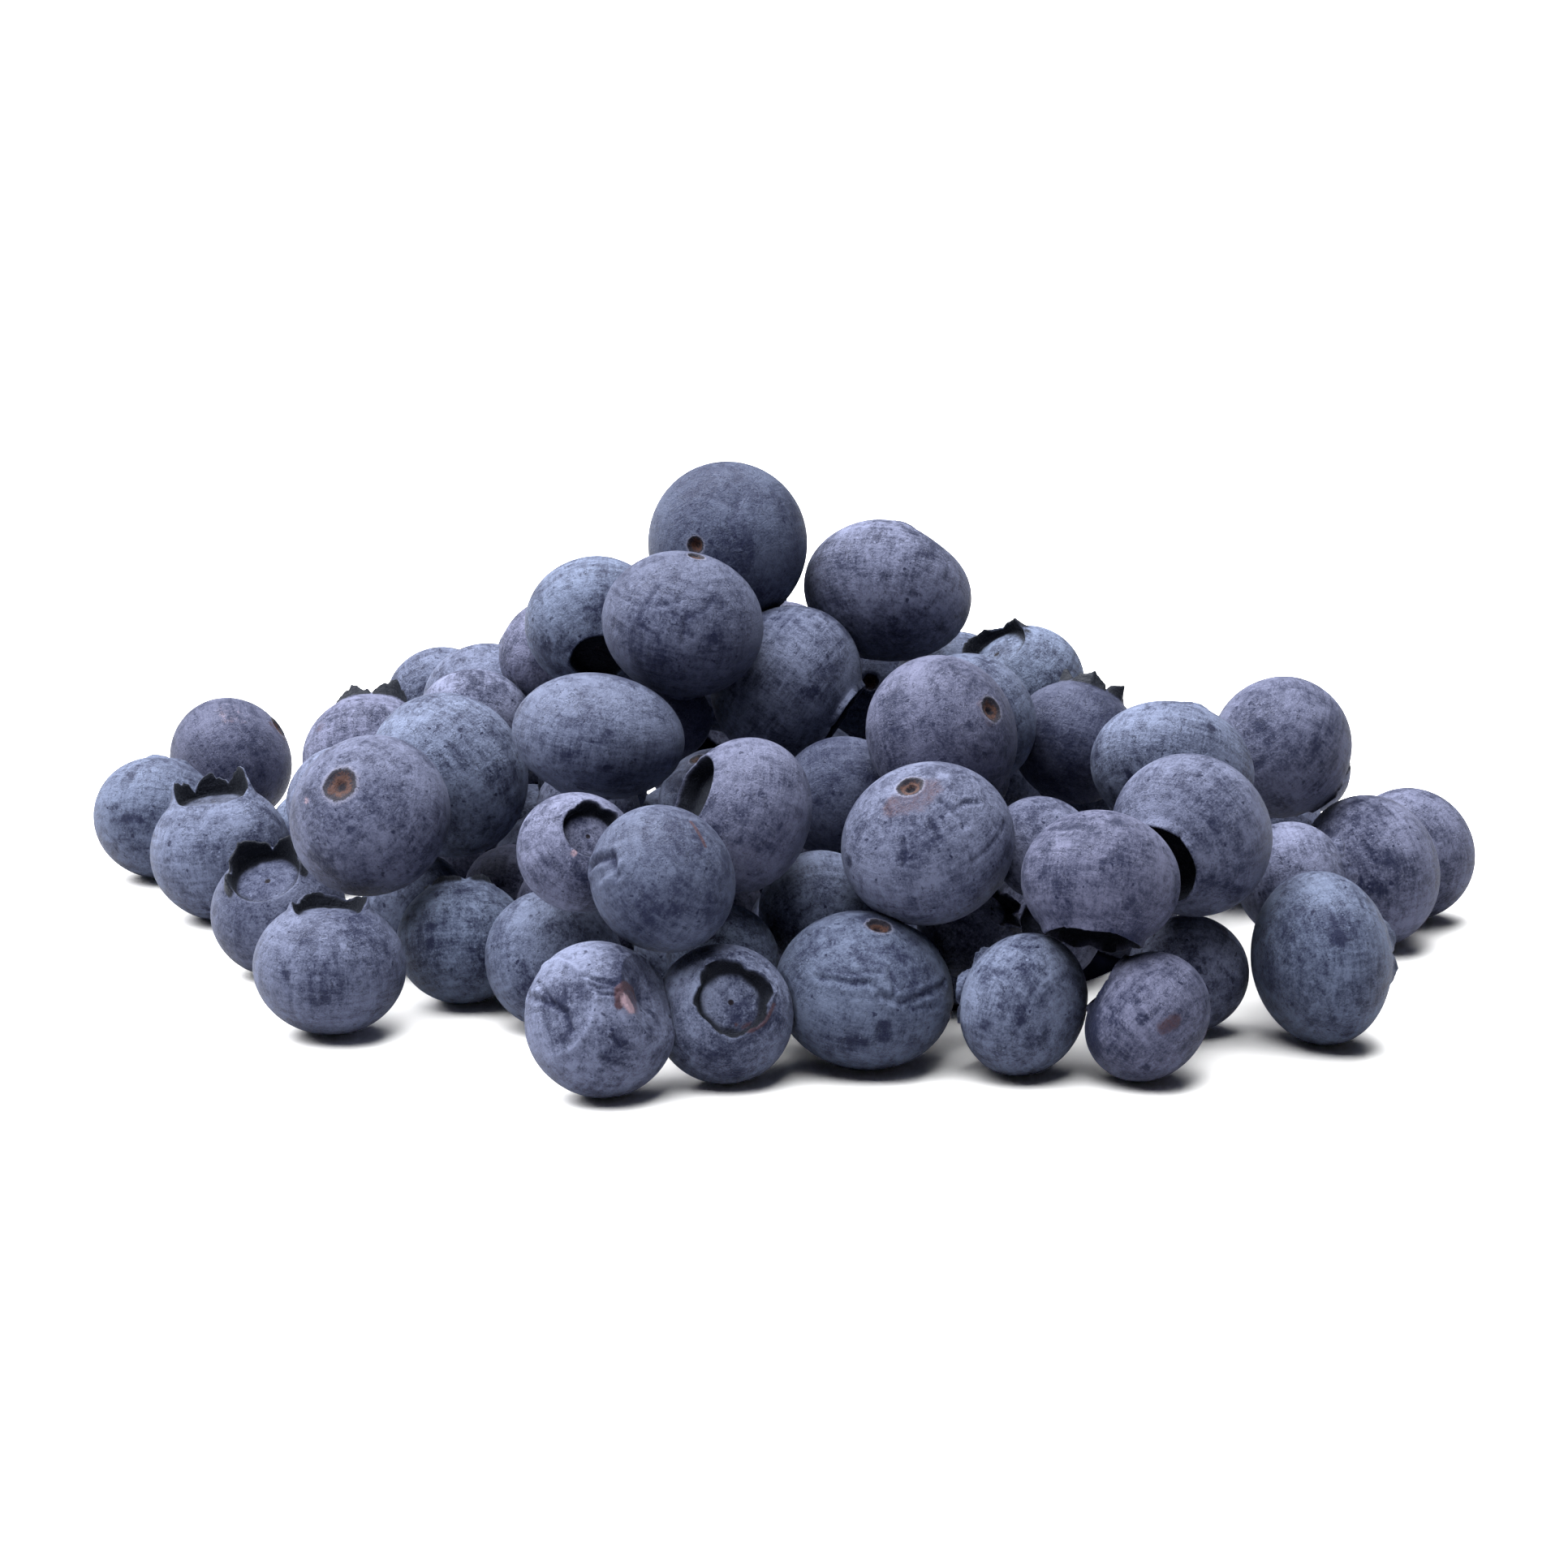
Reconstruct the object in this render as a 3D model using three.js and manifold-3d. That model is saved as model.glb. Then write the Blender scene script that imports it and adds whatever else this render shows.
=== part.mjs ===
// A loose heap of blueberries, one fused solid: every berry that shows, over a smaller core.
// Millimetres, +Z up. The heap is laid out with y = 0 at its front contact with the floor,
// +Y away from the viewer, and is moved at the end so that the middle of its base is the origin.
import * as THREE from "three";
import { mergeVertices } from "three/addons/utils/BufferGeometryUtils.js";
import Module from "manifold-3d";

const wasm = await Module();
wasm.setup();

// The viewpoint: a square picture PICTURE steps wide, seen from EYE, looking PITCH below level.
const PICTURE = 1932;
const FOCAL = 7260;
const PITCH = THREE.MathUtils.degToRad(14);
const EYE = new THREE.Vector3(0, -523, 160);

// Berries are soft, so two that meet may press PRESS into each other.
const PRESS = 0.25;
const STEP = 0.25;
const MOST_STEPS = 160;
const FLOOR = "floor";

// Each berry that shows from the front: its name, its middle across and down the picture, its
// width and its length from stem to crown in mm, the clock angle and the lean from the viewer
// of the end named next, which is the one that shows (side when neither does), and either
// FLOOR or the nearest depth in mm that it can lie at. Nearer berries come first.
const SEEN = [
  ["front_1", 738, 1258, 14.6, 12.5, 55, 35, "stem", FLOOR],
  ["front_2", 892, 1249, 13.2, 11.6, 30, 20, "crown", FLOOR],
  ["front_3", 1065, 1221, 16.8, 14.1, 12, 62, "stem", FLOOR],
  ["front_4", 1261, 1238, 13.6, 10.8, 290, 125, "crown", FLOOR],
  ["front_5", 1414, 1253, 12.7, 11.2, 310, 100, "crown", FLOOR],
  ["left_5", 406, 1191, 14.6, 13.0, 0, 75, "crown", FLOOR],
  ["front_6", 1463, 1200, 11.7, 10.2, 0, 150, "side", FLOOR],
  ["front_7", 1628, 1180, 16.6, 12.6, 84, 110, "crown", FLOOR],
  ["left_14", 682, 1183, 13.5, 11.7, 250, 150, "side", FLOOR],
  ["left_13", 570, 1160, 13.0, 12.2, 357, 105, "crown", FLOOR],
  ["left_4", 343, 1123, 13.4, 12.0, 345, 47, "crown", FLOOR],
  ["left_2", 273, 1050, 14.5, 13.8, 352, 77, "crown", FLOOR],
  ["left_1", 194, 1007, 13.5, 12.7, 10, 115, "side", FLOOR],
  ["right_10", 1687, 1073, 15.4, 13.4, 76, 120, "side", FLOOR],
  ["right_11", 1737, 1052, 13.6, 12.0, 70, 145, "side", FLOOR],
  ["middle_4", 816, 1083, 14.0, 12.8, 50, 55, "stem", 6],
  ["middle_5", 890, 1180, 10.8, 10.3, 200, 115, "side", 12],
  ["right_8", 1355, 1085, 14.9, 13.0, 188, 78, "crown", 8],
  ["middle_9", 1143, 1040, 16.4, 14.6, 342, 51, "stem", 14],
  ["middle_12", 1195, 1145, 10.9, 8.4, 45, 55, "crown", 18],
  ["middle_11", 1010, 1120, 11.7, 10.0, 345, 145, "side", 16],
  ["left_6", 456, 1005, 16.1, 13.8, 320, 35, "stem", 30],
  ["middle_6", 712, 1050, 11.8, 10.1, 35, 34, "crown", 12],
  ["middle_8", 915, 1005, 15.3, 12.6, 293, 68, "crown", 14],
  ["right_7", 1468, 1029, 15.9, 14.0, 231, 42, "crown", 18],
  ["right_12", 1592, 1085, 11.5, 10.9, 75, 95, "crown", 26],
  ["right_9", 1285, 1045, 10.4, 9.0, 215, 140, "side", 16],
  ["top_2", 841, 768, 15.8, 14.0, 12, 70, "stem", 38],
  ["middle_7", 737, 907, 16.7, 11.9, 188, 100, "side", 28],
  ["top_6", 968, 842, 16.0, 14.4, 125, 86, "crown", 36],
  ["right_1", 1160, 905, 15.4, 13.8, 63, 49, "stem", 28],
  ["left_7", 552, 956, 16.8, 14.5, 55, 130, "side", 36],
  ["middle_10", 1040, 985, 12.7, 10.9, 0, 145, "side", 24],
  ["top_8", 822, 885, 8.7, 7.5, 0, 140, "side", 34],
  ["right_5", 1445, 947, 16.2, 12.1, 15, 115, "side", 36],
  ["top_4", 733, 768, 14.1, 12.3, 171, 40, "crown", 48],
  ["left_9", 430, 990, 12.4, 10.7, 190, 140, "side", 44],
  ["right_2", 1195, 888, 13.6, 11.7, 50, 135, "side", 40],
  ["left_8", 455, 935, 13.8, 13.0, 0, 120, "crown", 50],
  ["right_4", 1325, 915, 13.0, 12.0, 20, 105, "crown", 44],
  ["right_6", 1578, 920, 14.3, 13.9, 135, 120, "crown", 54],
  ["left_10", 585, 896, 12.3, 10.6, 0, 140, "side", 52],
  ["top_3", 1093, 728, 16.9, 13.3, 12, 115, "side", 52],
  ["top_1", 896, 670, 16.3, 14.0, 262, 26, "stem", 50],
  ["right_3", 1258, 848, 13.2, 12.3, 323, 64, "crown", 60],
  ["left_3", 285, 937, 13.6, 12.7, 55, 82, "stem", 70],
  ["left_12", 600, 870, 13.4, 11.5, 0, 150, "side", 60],
  ["top_5", 685, 805, 11.6, 9.9, 315, 150, "side", 58],
  ["left_11", 545, 865, 11.9, 10.2, 0, 150, "side", 66],
  ["top_9", 965, 802, 10.7, 9.2, 0, 140, "side", 56],
];

// The far side, which the near side hides: berries of drawn sizes, each let down at the lowest
// of the PLACES spread over the foot where it is out of sight. The last ones may find none.
const FOOT = { x: 0, y: 58, halfWide: 68, halfDeep: 60 };
const PLACES = 900;
const GOLDEN_TURN = Math.PI * (3 - Math.sqrt(5));
const HIDDEN = 90;
const SEED = 20;
const HIDDEN_RADIUS = [5, 7.5];
const HIDDEN_HIGH = 52;
const HIDDEN_WIDE = 1.04;
const HIDDEN_LONG = 0.9;
const OUTLINE_POINTS = 12;

// Places in the picture where light shows between the top berries.
const LIGHT_GAPS = [
  { across: 983, down: 735, radius: 12 },
  { across: 787, down: 668, radius: 12 },
];

// The core under the berries, a low mound with a flat base. Berries let down on it sit with
// their middle SUNK of their radius above it.
const CORE = { x: -1, y: 61, halfWide: 46, halfDeep: 44, high: 24, power: 0.75 };
const SUNK = 0.3;
const CORE_SIDES = 18;
const CORE_RINGS = 4;

// Where two berries press together, a short bridge of the size of that flat spot joins them.
const BRIDGE_RADIUS = 1.7;
const BRIDGE_SIDES = 3;
const DEEP_IN_CORE = 0.75;

const SEEN_SIDES = 9;
const SEEN_LATITUDES = [-48, -10, 30];
const HIDDEN_SIDES = 6;
const HIDDEN_LATITUDES = [-45, -5, 36];

// Shares of a berry's half width (across) and half length (along) at its two ends.
const STEM_DIMPLE = { across: 0.16, rim: 0.985, floor: 0.93 };
const CROWN = { rim: 0.46, rimTop: 1.0, pit: 0.36, pitFloor: 0.8 };

const UP = new THREE.Vector3(0, 0, 1);
const AHEAD = new THREE.Vector3(0, Math.cos(PITCH), -Math.sin(PITCH));
const ABOVE = new THREE.Vector3(0, Math.sin(PITCH), Math.cos(PITCH));
const ASIDE = new THREE.Vector3(1, 0, 0);

// The direction from EYE through a place in the picture.
function sight(across, down) {
  const right = (across - PICTURE / 2) / FOCAL;
  const lower = (down - PICTURE / 2) / FOCAL;
  return AHEAD.clone().addScaledVector(ASIDE, right).addScaledVector(ABOVE, -lower);
}

// The way an end of a berry faces, from its clock angle and its lean away from the viewer.
function facing(clockDegrees, leanDegrees) {
  const clock = THREE.MathUtils.degToRad(clockDegrees);
  const lean = THREE.MathUtils.degToRad(leanDegrees);
  const sideways = Math.sin(lean);
  return AHEAD.clone()
    .multiplyScalar(-Math.cos(lean))
    .addScaledVector(ASIDE, Math.sin(clock) * sideways)
    .addScaledVector(ABOVE, Math.cos(clock) * sideways);
}

// Half the height of a berry measured along a direction.
function reach(berry, way) {
  const along = berry.axis.dot(way) ** 2;
  return Math.sqrt((1 - along) * berry.halfWide ** 2 + along * berry.halfLong ** 2);
}

// The distance from a berry's middle to its skin in a direction.
function radiusTowards(berry, way) {
  const along = berry.axis.dot(way) ** 2;
  return 1 / Math.sqrt((1 - along) / berry.halfWide ** 2 + along / berry.halfLong ** 2);
}

function gapBetween(a, b) {
  const apart = b.place.clone().sub(a.place);
  const far = apart.length();
  if (far > a.halfWide + b.halfWide) return far - a.halfWide - b.halfWide;
  apart.divideScalar(far);
  return far - radiusTowards(a, apart) - radiusTowards(b, apart);
}

// Places are kept to a hundredth of a millimetre.
function rounded(place) {
  const toHundredth = (value) => Math.floor(value * 100 + 0.5) / 100;
  return new THREE.Vector3(toHundredth(place.x), toHundredth(place.y), toHundredth(place.z));
}

// A berry on the floor lies where its sight line comes down to its half height.
function placeOnFloor(berry, ray) {
  const far = (EYE.z - reach(berry, UP)) / -ray.z;
  return EYE.clone().addScaledVector(ray, far);
}

// Any other slides back along its sight line to the first depth where it is clear.
function placeAmong(berry, ray, nearest, laid) {
  const place = new THREE.Vector3();
  for (let step = 0; step < MOST_STEPS; step++) {
    const far = (nearest + step * STEP - EYE.y) / ray.y;
    place.copy(EYE).addScaledVector(ray, far);
    berry.place = place;
    if (laid.every((other) => gapBetween(berry, other) > -PRESS)) break;
  }
  return place;
}

function laySeen() {
  const laid = [];
  for (const [name, across, down, wide, long, clock, lean, end, nearest] of SEEN) {
    const axis = facing(clock, lean).multiplyScalar(end === "stem" ? -1 : 1);
    const berry = { name, axis, halfWide: wide / 2, halfLong: long / 2, seen: true };
    berry.hasPit = end === "crown";
    berry.round = (2 * berry.halfWide + berry.halfLong) / 3 - PRESS / 2;
    const ray = sight(across, down);
    berry.place = rounded(
      nearest === FLOOR ? placeOnFloor(berry, ray) : placeAmong(berry, ray, nearest, laid),
    );
    laid.push(berry);
  }
  return laid;
}

// Random draws by a fixed rule, the same on every run.
function drawer(seed) {
  const MULTIPLIER = 16807;
  const MODULUS = 2147483647;
  let state = seed;
  return (low, high) => {
    state = (state * MULTIPLIER) % MODULUS;
    return low + ((high - low) * state) / MODULUS;
  };
}

function inPicture(place) {
  const away = place.clone().sub(EYE);
  const scale = FOCAL / away.dot(AHEAD);
  return {
    across: PICTURE / 2 + scale * away.dot(ASIDE),
    down: PICTURE / 2 - scale * away.dot(ABOVE),
    scale,
  };
}

// A berry is hidden when each point of its outline in the picture lies behind a nearer berry,
// or in a chink with nearer berries above and below it, where it covers no farther one.
function isHidden(place, radius, discs) {
  const { across, down, scale } = inPicture(place);
  const blocks = (gap) => {
    const fromGap = Math.hypot(across - gap.across, down - gap.down);
    return fromGap < radius * scale + gap.radius;
  };
  if (LIGHT_GAPS.some(blocks)) return false;
  const nearer = discs.filter((disc) => disc.depth < place.y);
  for (let i = 0; i < OUTLINE_POINTS; i++) {
    const turn = (2 * Math.PI * i) / OUTLINE_POINTS;
    const x = across + radius * scale * Math.cos(turn);
    const y = down + radius * scale * Math.sin(turn);
    const covers = (disc) => Math.hypot(x - disc.across, y - disc.down) < disc.radius;
    if (nearer.some(covers)) continue;
    const column = nearer.filter((disc) => Math.abs(x - disc.across) < disc.radius);
    const isChink = column.some((disc) => disc.down < y) && column.some((disc) => disc.down > y);
    if (!isChink || discs.some(covers)) return false;
  }
  return true;
}

// The height of the core's surface at a share of the way out to its rim.
function coreHeight(out) {
  return CORE.high * Math.max(1 - out ** 2, 0) ** CORE.power;
}

function coreHeightAt(x, y) {
  return coreHeight(Math.hypot((x - CORE.x) / CORE.halfWide, (y - CORE.y) / CORE.halfDeep));
}

// The height at which a berry let down at x, y comes to rest.
function restingHeight(x, y, radius, laid) {
  let height = Math.max(radius, coreHeightAt(x, y) + SUNK * radius);
  for (const other of laid) {
    const meet = (radius + other.round) ** 2;
    const apart = (x - other.place.x) ** 2 + (y - other.place.y) ** 2;
    if (apart < meet) height = Math.max(height, other.place.z + Math.sqrt(meet - apart));
  }
  return height;
}

// Places spread evenly over the foot, each with the height that a berry's underside may have.
function placesOverFoot() {
  return Array.from({ length: PLACES }, (_, i) => {
    const out = Math.sqrt((i + 0.5) / PLACES);
    const x = FOOT.x + FOOT.halfWide * out * Math.cos(i * GOLDEN_TURN);
    const y = FOOT.y + FOOT.halfDeep * out * Math.sin(i * GOLDEN_TURN);
    return { x, y, highest: HIDDEN_HIGH * (1 - out ** 2) };
  });
}

function lowestPlace(radius, places, laid, discs) {
  return places
    .map(({ x, y, highest }) => ({ x, y, z: restingHeight(x, y, radius, laid), highest }))
    .filter(({ z, highest }) => z - radius <= highest)
    .sort((a, b) => a.z - b.z)
    .map(({ x, y, z }) => new THREE.Vector3(x, y, z))
    .find((place) => isHidden(place, radius, discs));
}

function layHidden(laid) {
  const draw = drawer(SEED);
  const places = placesOverFoot();
  const discs = laid.map((berry) => {
    const { across, down, scale } = inPicture(berry.place);
    const least = Math.min(reach(berry, ABOVE), reach(berry, ASIDE));
    return { across, down, radius: least * scale, depth: berry.place.y };
  });
  for (let i = 0; i < HIDDEN; i++) {
    const radius = draw(...HIDDEN_RADIUS);
    const axis = facing(draw(0, 360), draw(0, 180));
    const place = lowestPlace(radius, places, laid, discs);
    if (!place) continue;
    laid.push({
      axis,
      place: rounded(place),
      halfWide: radius * HIDDEN_WIDE,
      halfLong: radius * HIDDEN_LONG,
      round: radius,
      seen: false,
      hasPit: false,
    });
  }
}

// The profile of a berry from the middle of its stem dimple to the middle of its crown.
function berryProfile({ halfWide, halfLong, seen, hasPit }) {
  const point = (across, along) => new THREE.Vector2(across * halfWide, along * halfLong);
  const latitudes = seen ? SEEN_LATITUDES : HIDDEN_LATITUDES;
  const belly = latitudes.map((degrees) => {
    const latitude = THREE.MathUtils.degToRad(degrees);
    return point(Math.cos(latitude), Math.sin(latitude));
  });
  const stem = seen
    ? [point(0, -STEM_DIMPLE.floor), point(STEM_DIMPLE.across, -STEM_DIMPLE.rim)]
    : [point(0, -STEM_DIMPLE.rim)];
  const pit = hasPit ? [point(CROWN.pit, CROWN.pitFloor)] : [];
  return [...stem, ...belly, point(CROWN.rim, CROWN.rimTop), ...pit, point(0, CROWN.pitFloor)];
}

// A berry is lathed about its own axis, turned and placed; none reaches below the floor.
function berryGeometry(berry) {
  const sides = berry.seen ? SEEN_SIDES : HIDDEN_SIDES;
  const geometry = new THREE.LatheGeometry(berryProfile(berry), sides);
  const turn = new THREE.Quaternion().setFromUnitVectors(new THREE.Vector3(0, 1, 0), berry.axis);
  geometry.applyQuaternion(turn);
  geometry.translate(...berry.place);
  const points = geometry.getAttribute("position");
  for (let i = 0; i < points.count; i++) points.setZ(i, Math.max(points.getZ(i), 0));
  return geometry;
}

function coreGeometry() {
  const profile = [new THREE.Vector2(0, 0)];
  for (let ring = 0; ring <= CORE_RINGS; ring++) {
    const out = 1 - ring / CORE_RINGS;
    profile.push(new THREE.Vector2(out, coreHeight(out)));
  }
  const geometry = new THREE.LatheGeometry(profile, CORE_SIDES);
  geometry.rotateX(Math.PI / 2);
  geometry.scale(CORE.halfWide, CORE.halfDeep, 1);
  geometry.translate(CORE.x, CORE.y, 0);
  return geometry;
}

function bridgeGeometry(from, to) {
  const along = to.place.clone().sub(from.place);
  const length = along.length();
  const geometry = new THREE.CylinderGeometry(BRIDGE_RADIUS, BRIDGE_RADIUS, length, BRIDGE_SIDES);
  const turn = new THREE.Quaternion();
  turn.setFromUnitVectors(new THREE.Vector3(0, 1, 0), along.divideScalar(length));
  geometry.applyQuaternion(turn);
  geometry.translate(...from.place.clone().lerp(to.place, 0.5));
  return geometry;
}

// Berries whose middle lies near or below the core's surface are held by it.
function isHeldByCore(berry) {
  const above = berry.place.z - coreHeightAt(berry.place.x, berry.place.y);
  return above < berry.halfLong * DEEP_IN_CORE;
}

// Every other berry is bridged to whichever held berry it comes closest to, closest pair first.
function bridges(laid) {
  const held = laid.filter(isHeldByCore);
  const loose = laid.filter((berry) => !isHeldByCore(berry));
  const links = loose.map((berry) => {
    const gaps = held.map((other) => gapBetween(berry, other));
    const gap = Math.min(...gaps);
    return { berry, gap, other: held[gaps.indexOf(gap)] };
  });
  const made = [];
  while (links.length) {
    links.sort((a, b) => a.gap - b.gap);
    const { berry, other } = links.shift();
    made.push(bridgeGeometry(berry, other));
    for (const link of links) {
      const gap = gapBetween(link.berry, berry);
      if (gap < link.gap) Object.assign(link, { gap, other: berry });
    }
  }
  return made;
}

// A closed three.js geometry as a solid, with shared vertices merged and empty faces dropped.
function solidFrom(geometry) {
  const bare = geometry.clone();
  bare.deleteAttribute("normal");
  bare.deleteAttribute("uv");
  const merged = mergeVertices(bare, 1e-4);
  const corners = merged.index.array;
  const faces = [];
  for (let i = 0; i < corners.length; i += 3) {
    const [a, b, c] = [corners[i], corners[i + 1], corners[i + 2]];
    if (a !== b && b !== c && c !== a) faces.push(a, b, c);
  }
  return new wasm.Manifold(
    new wasm.Mesh({
      numProp: 3,
      vertProperties: merged.getAttribute("position").array,
      triVerts: new Uint32Array(faces),
    }),
  );
}

// The outer skin of a fused solid: sealed hollows are filled and loose scraps dropped.
function outerSkin(solid) {
  const { numProp, vertProperties, triVerts } = solid.getMesh();
  const owner = Array.from({ length: vertProperties.length / numProp }, (_, i) => i);
  const root = (i) => {
    while (owner[i] !== i) i = owner[i] = owner[owner[i]];
    return i;
  };
  for (let i = 0; i < triVerts.length; i += 3) {
    owner[root(triVerts[i + 1])] = root(triVerts[i]);
    owner[root(triVerts[i + 2])] = root(triVerts[i]);
  }
  const counts = new Map();
  for (let i = 0; i < triVerts.length; i += 3) {
    const skin = root(triVerts[i]);
    counts.set(skin, (counts.get(skin) ?? 0) + 1);
  }
  const largest = [...counts].sort((a, b) => b[1] - a[1])[0][0];
  const kept = [];
  for (let i = 0; i < triVerts.length; i += 3) {
    if (root(triVerts[i]) === largest) kept.push(...triVerts.subarray(i, i + 3));
  }
  const geometry = new THREE.BufferGeometry();
  geometry.setAttribute("position", new THREE.BufferAttribute(vertProperties, numProp));
  geometry.setIndex(kept);
  return mergeVertices(geometry.toNonIndexed(), 1e-4);
}

const berries = laySeen();
layHidden(berries);
const pieces = [...berries.map(berryGeometry), ...bridges(berries)];
const fused = pieces.reduce((whole, piece) => whole.add(solidFrom(piece)), solidFrom(coreGeometry()));

const heapGeometry = outerSkin(fused);
heapGeometry.computeBoundingBox();
const middle = heapGeometry.boundingBox.getCenter(new THREE.Vector3());
heapGeometry.translate(-middle.x, -middle.y, 0);
heapGeometry.computeVertexNormals();

const skin = new THREE.MeshStandardMaterial({ color: 0x4d5870, roughness: 0.62, metalness: 0 });
const heap = new THREE.Mesh(heapGeometry, skin);
heap.name = "blueberry_heap";

const part = new THREE.Group();
part.add(heap);
export default part;
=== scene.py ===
"""The looks of a loose heap of blueberries on a white table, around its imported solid."""

import math

import bpy
import numpy as np
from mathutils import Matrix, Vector


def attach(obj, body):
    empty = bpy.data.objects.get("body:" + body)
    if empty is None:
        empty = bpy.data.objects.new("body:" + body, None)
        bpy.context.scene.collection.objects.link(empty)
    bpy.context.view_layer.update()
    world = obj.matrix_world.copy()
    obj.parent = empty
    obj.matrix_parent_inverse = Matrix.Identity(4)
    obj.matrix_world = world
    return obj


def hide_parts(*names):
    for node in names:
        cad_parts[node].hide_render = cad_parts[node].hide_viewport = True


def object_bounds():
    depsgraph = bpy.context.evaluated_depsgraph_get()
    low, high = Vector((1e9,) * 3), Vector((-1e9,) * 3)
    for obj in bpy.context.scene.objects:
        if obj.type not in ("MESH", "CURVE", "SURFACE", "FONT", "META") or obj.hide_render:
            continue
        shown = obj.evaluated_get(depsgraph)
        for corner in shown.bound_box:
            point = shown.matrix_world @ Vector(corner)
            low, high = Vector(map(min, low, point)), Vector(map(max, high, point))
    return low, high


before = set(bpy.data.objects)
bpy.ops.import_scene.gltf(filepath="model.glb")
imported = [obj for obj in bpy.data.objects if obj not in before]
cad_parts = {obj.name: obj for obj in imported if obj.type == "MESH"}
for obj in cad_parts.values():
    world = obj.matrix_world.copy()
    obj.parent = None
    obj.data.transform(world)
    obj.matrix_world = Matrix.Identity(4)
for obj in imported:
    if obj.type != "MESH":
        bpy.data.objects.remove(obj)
cad_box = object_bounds()

# Lengths are in millimetres until a mesh is made. The heap is laid out with y = 0 at its front
# contact with the table and +Y away from the viewer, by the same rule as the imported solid.
MM = 0.001

# The viewpoint: a square picture PICTURE steps wide, seen from EYE, looking PITCH below level.
PICTURE = 1932
FOCAL = 7260
PITCH = math.radians(14)
EYE = np.array((0.0, -523.0, 160.0))
SENSOR = 36.0

AHEAD = np.array((0.0, math.cos(PITCH), -math.sin(PITCH)))
ABOVE = np.array((0.0, math.sin(PITCH), math.cos(PITCH)))
ASIDE = np.array((1.0, 0.0, 0.0))
UP = np.array((0.0, 0.0, 1.0))

# Berries are soft, so two that meet may press PRESS into each other.
PRESS = 0.25
STEP = 0.25
MOST_STEPS = 160
FLOOR = None

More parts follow.
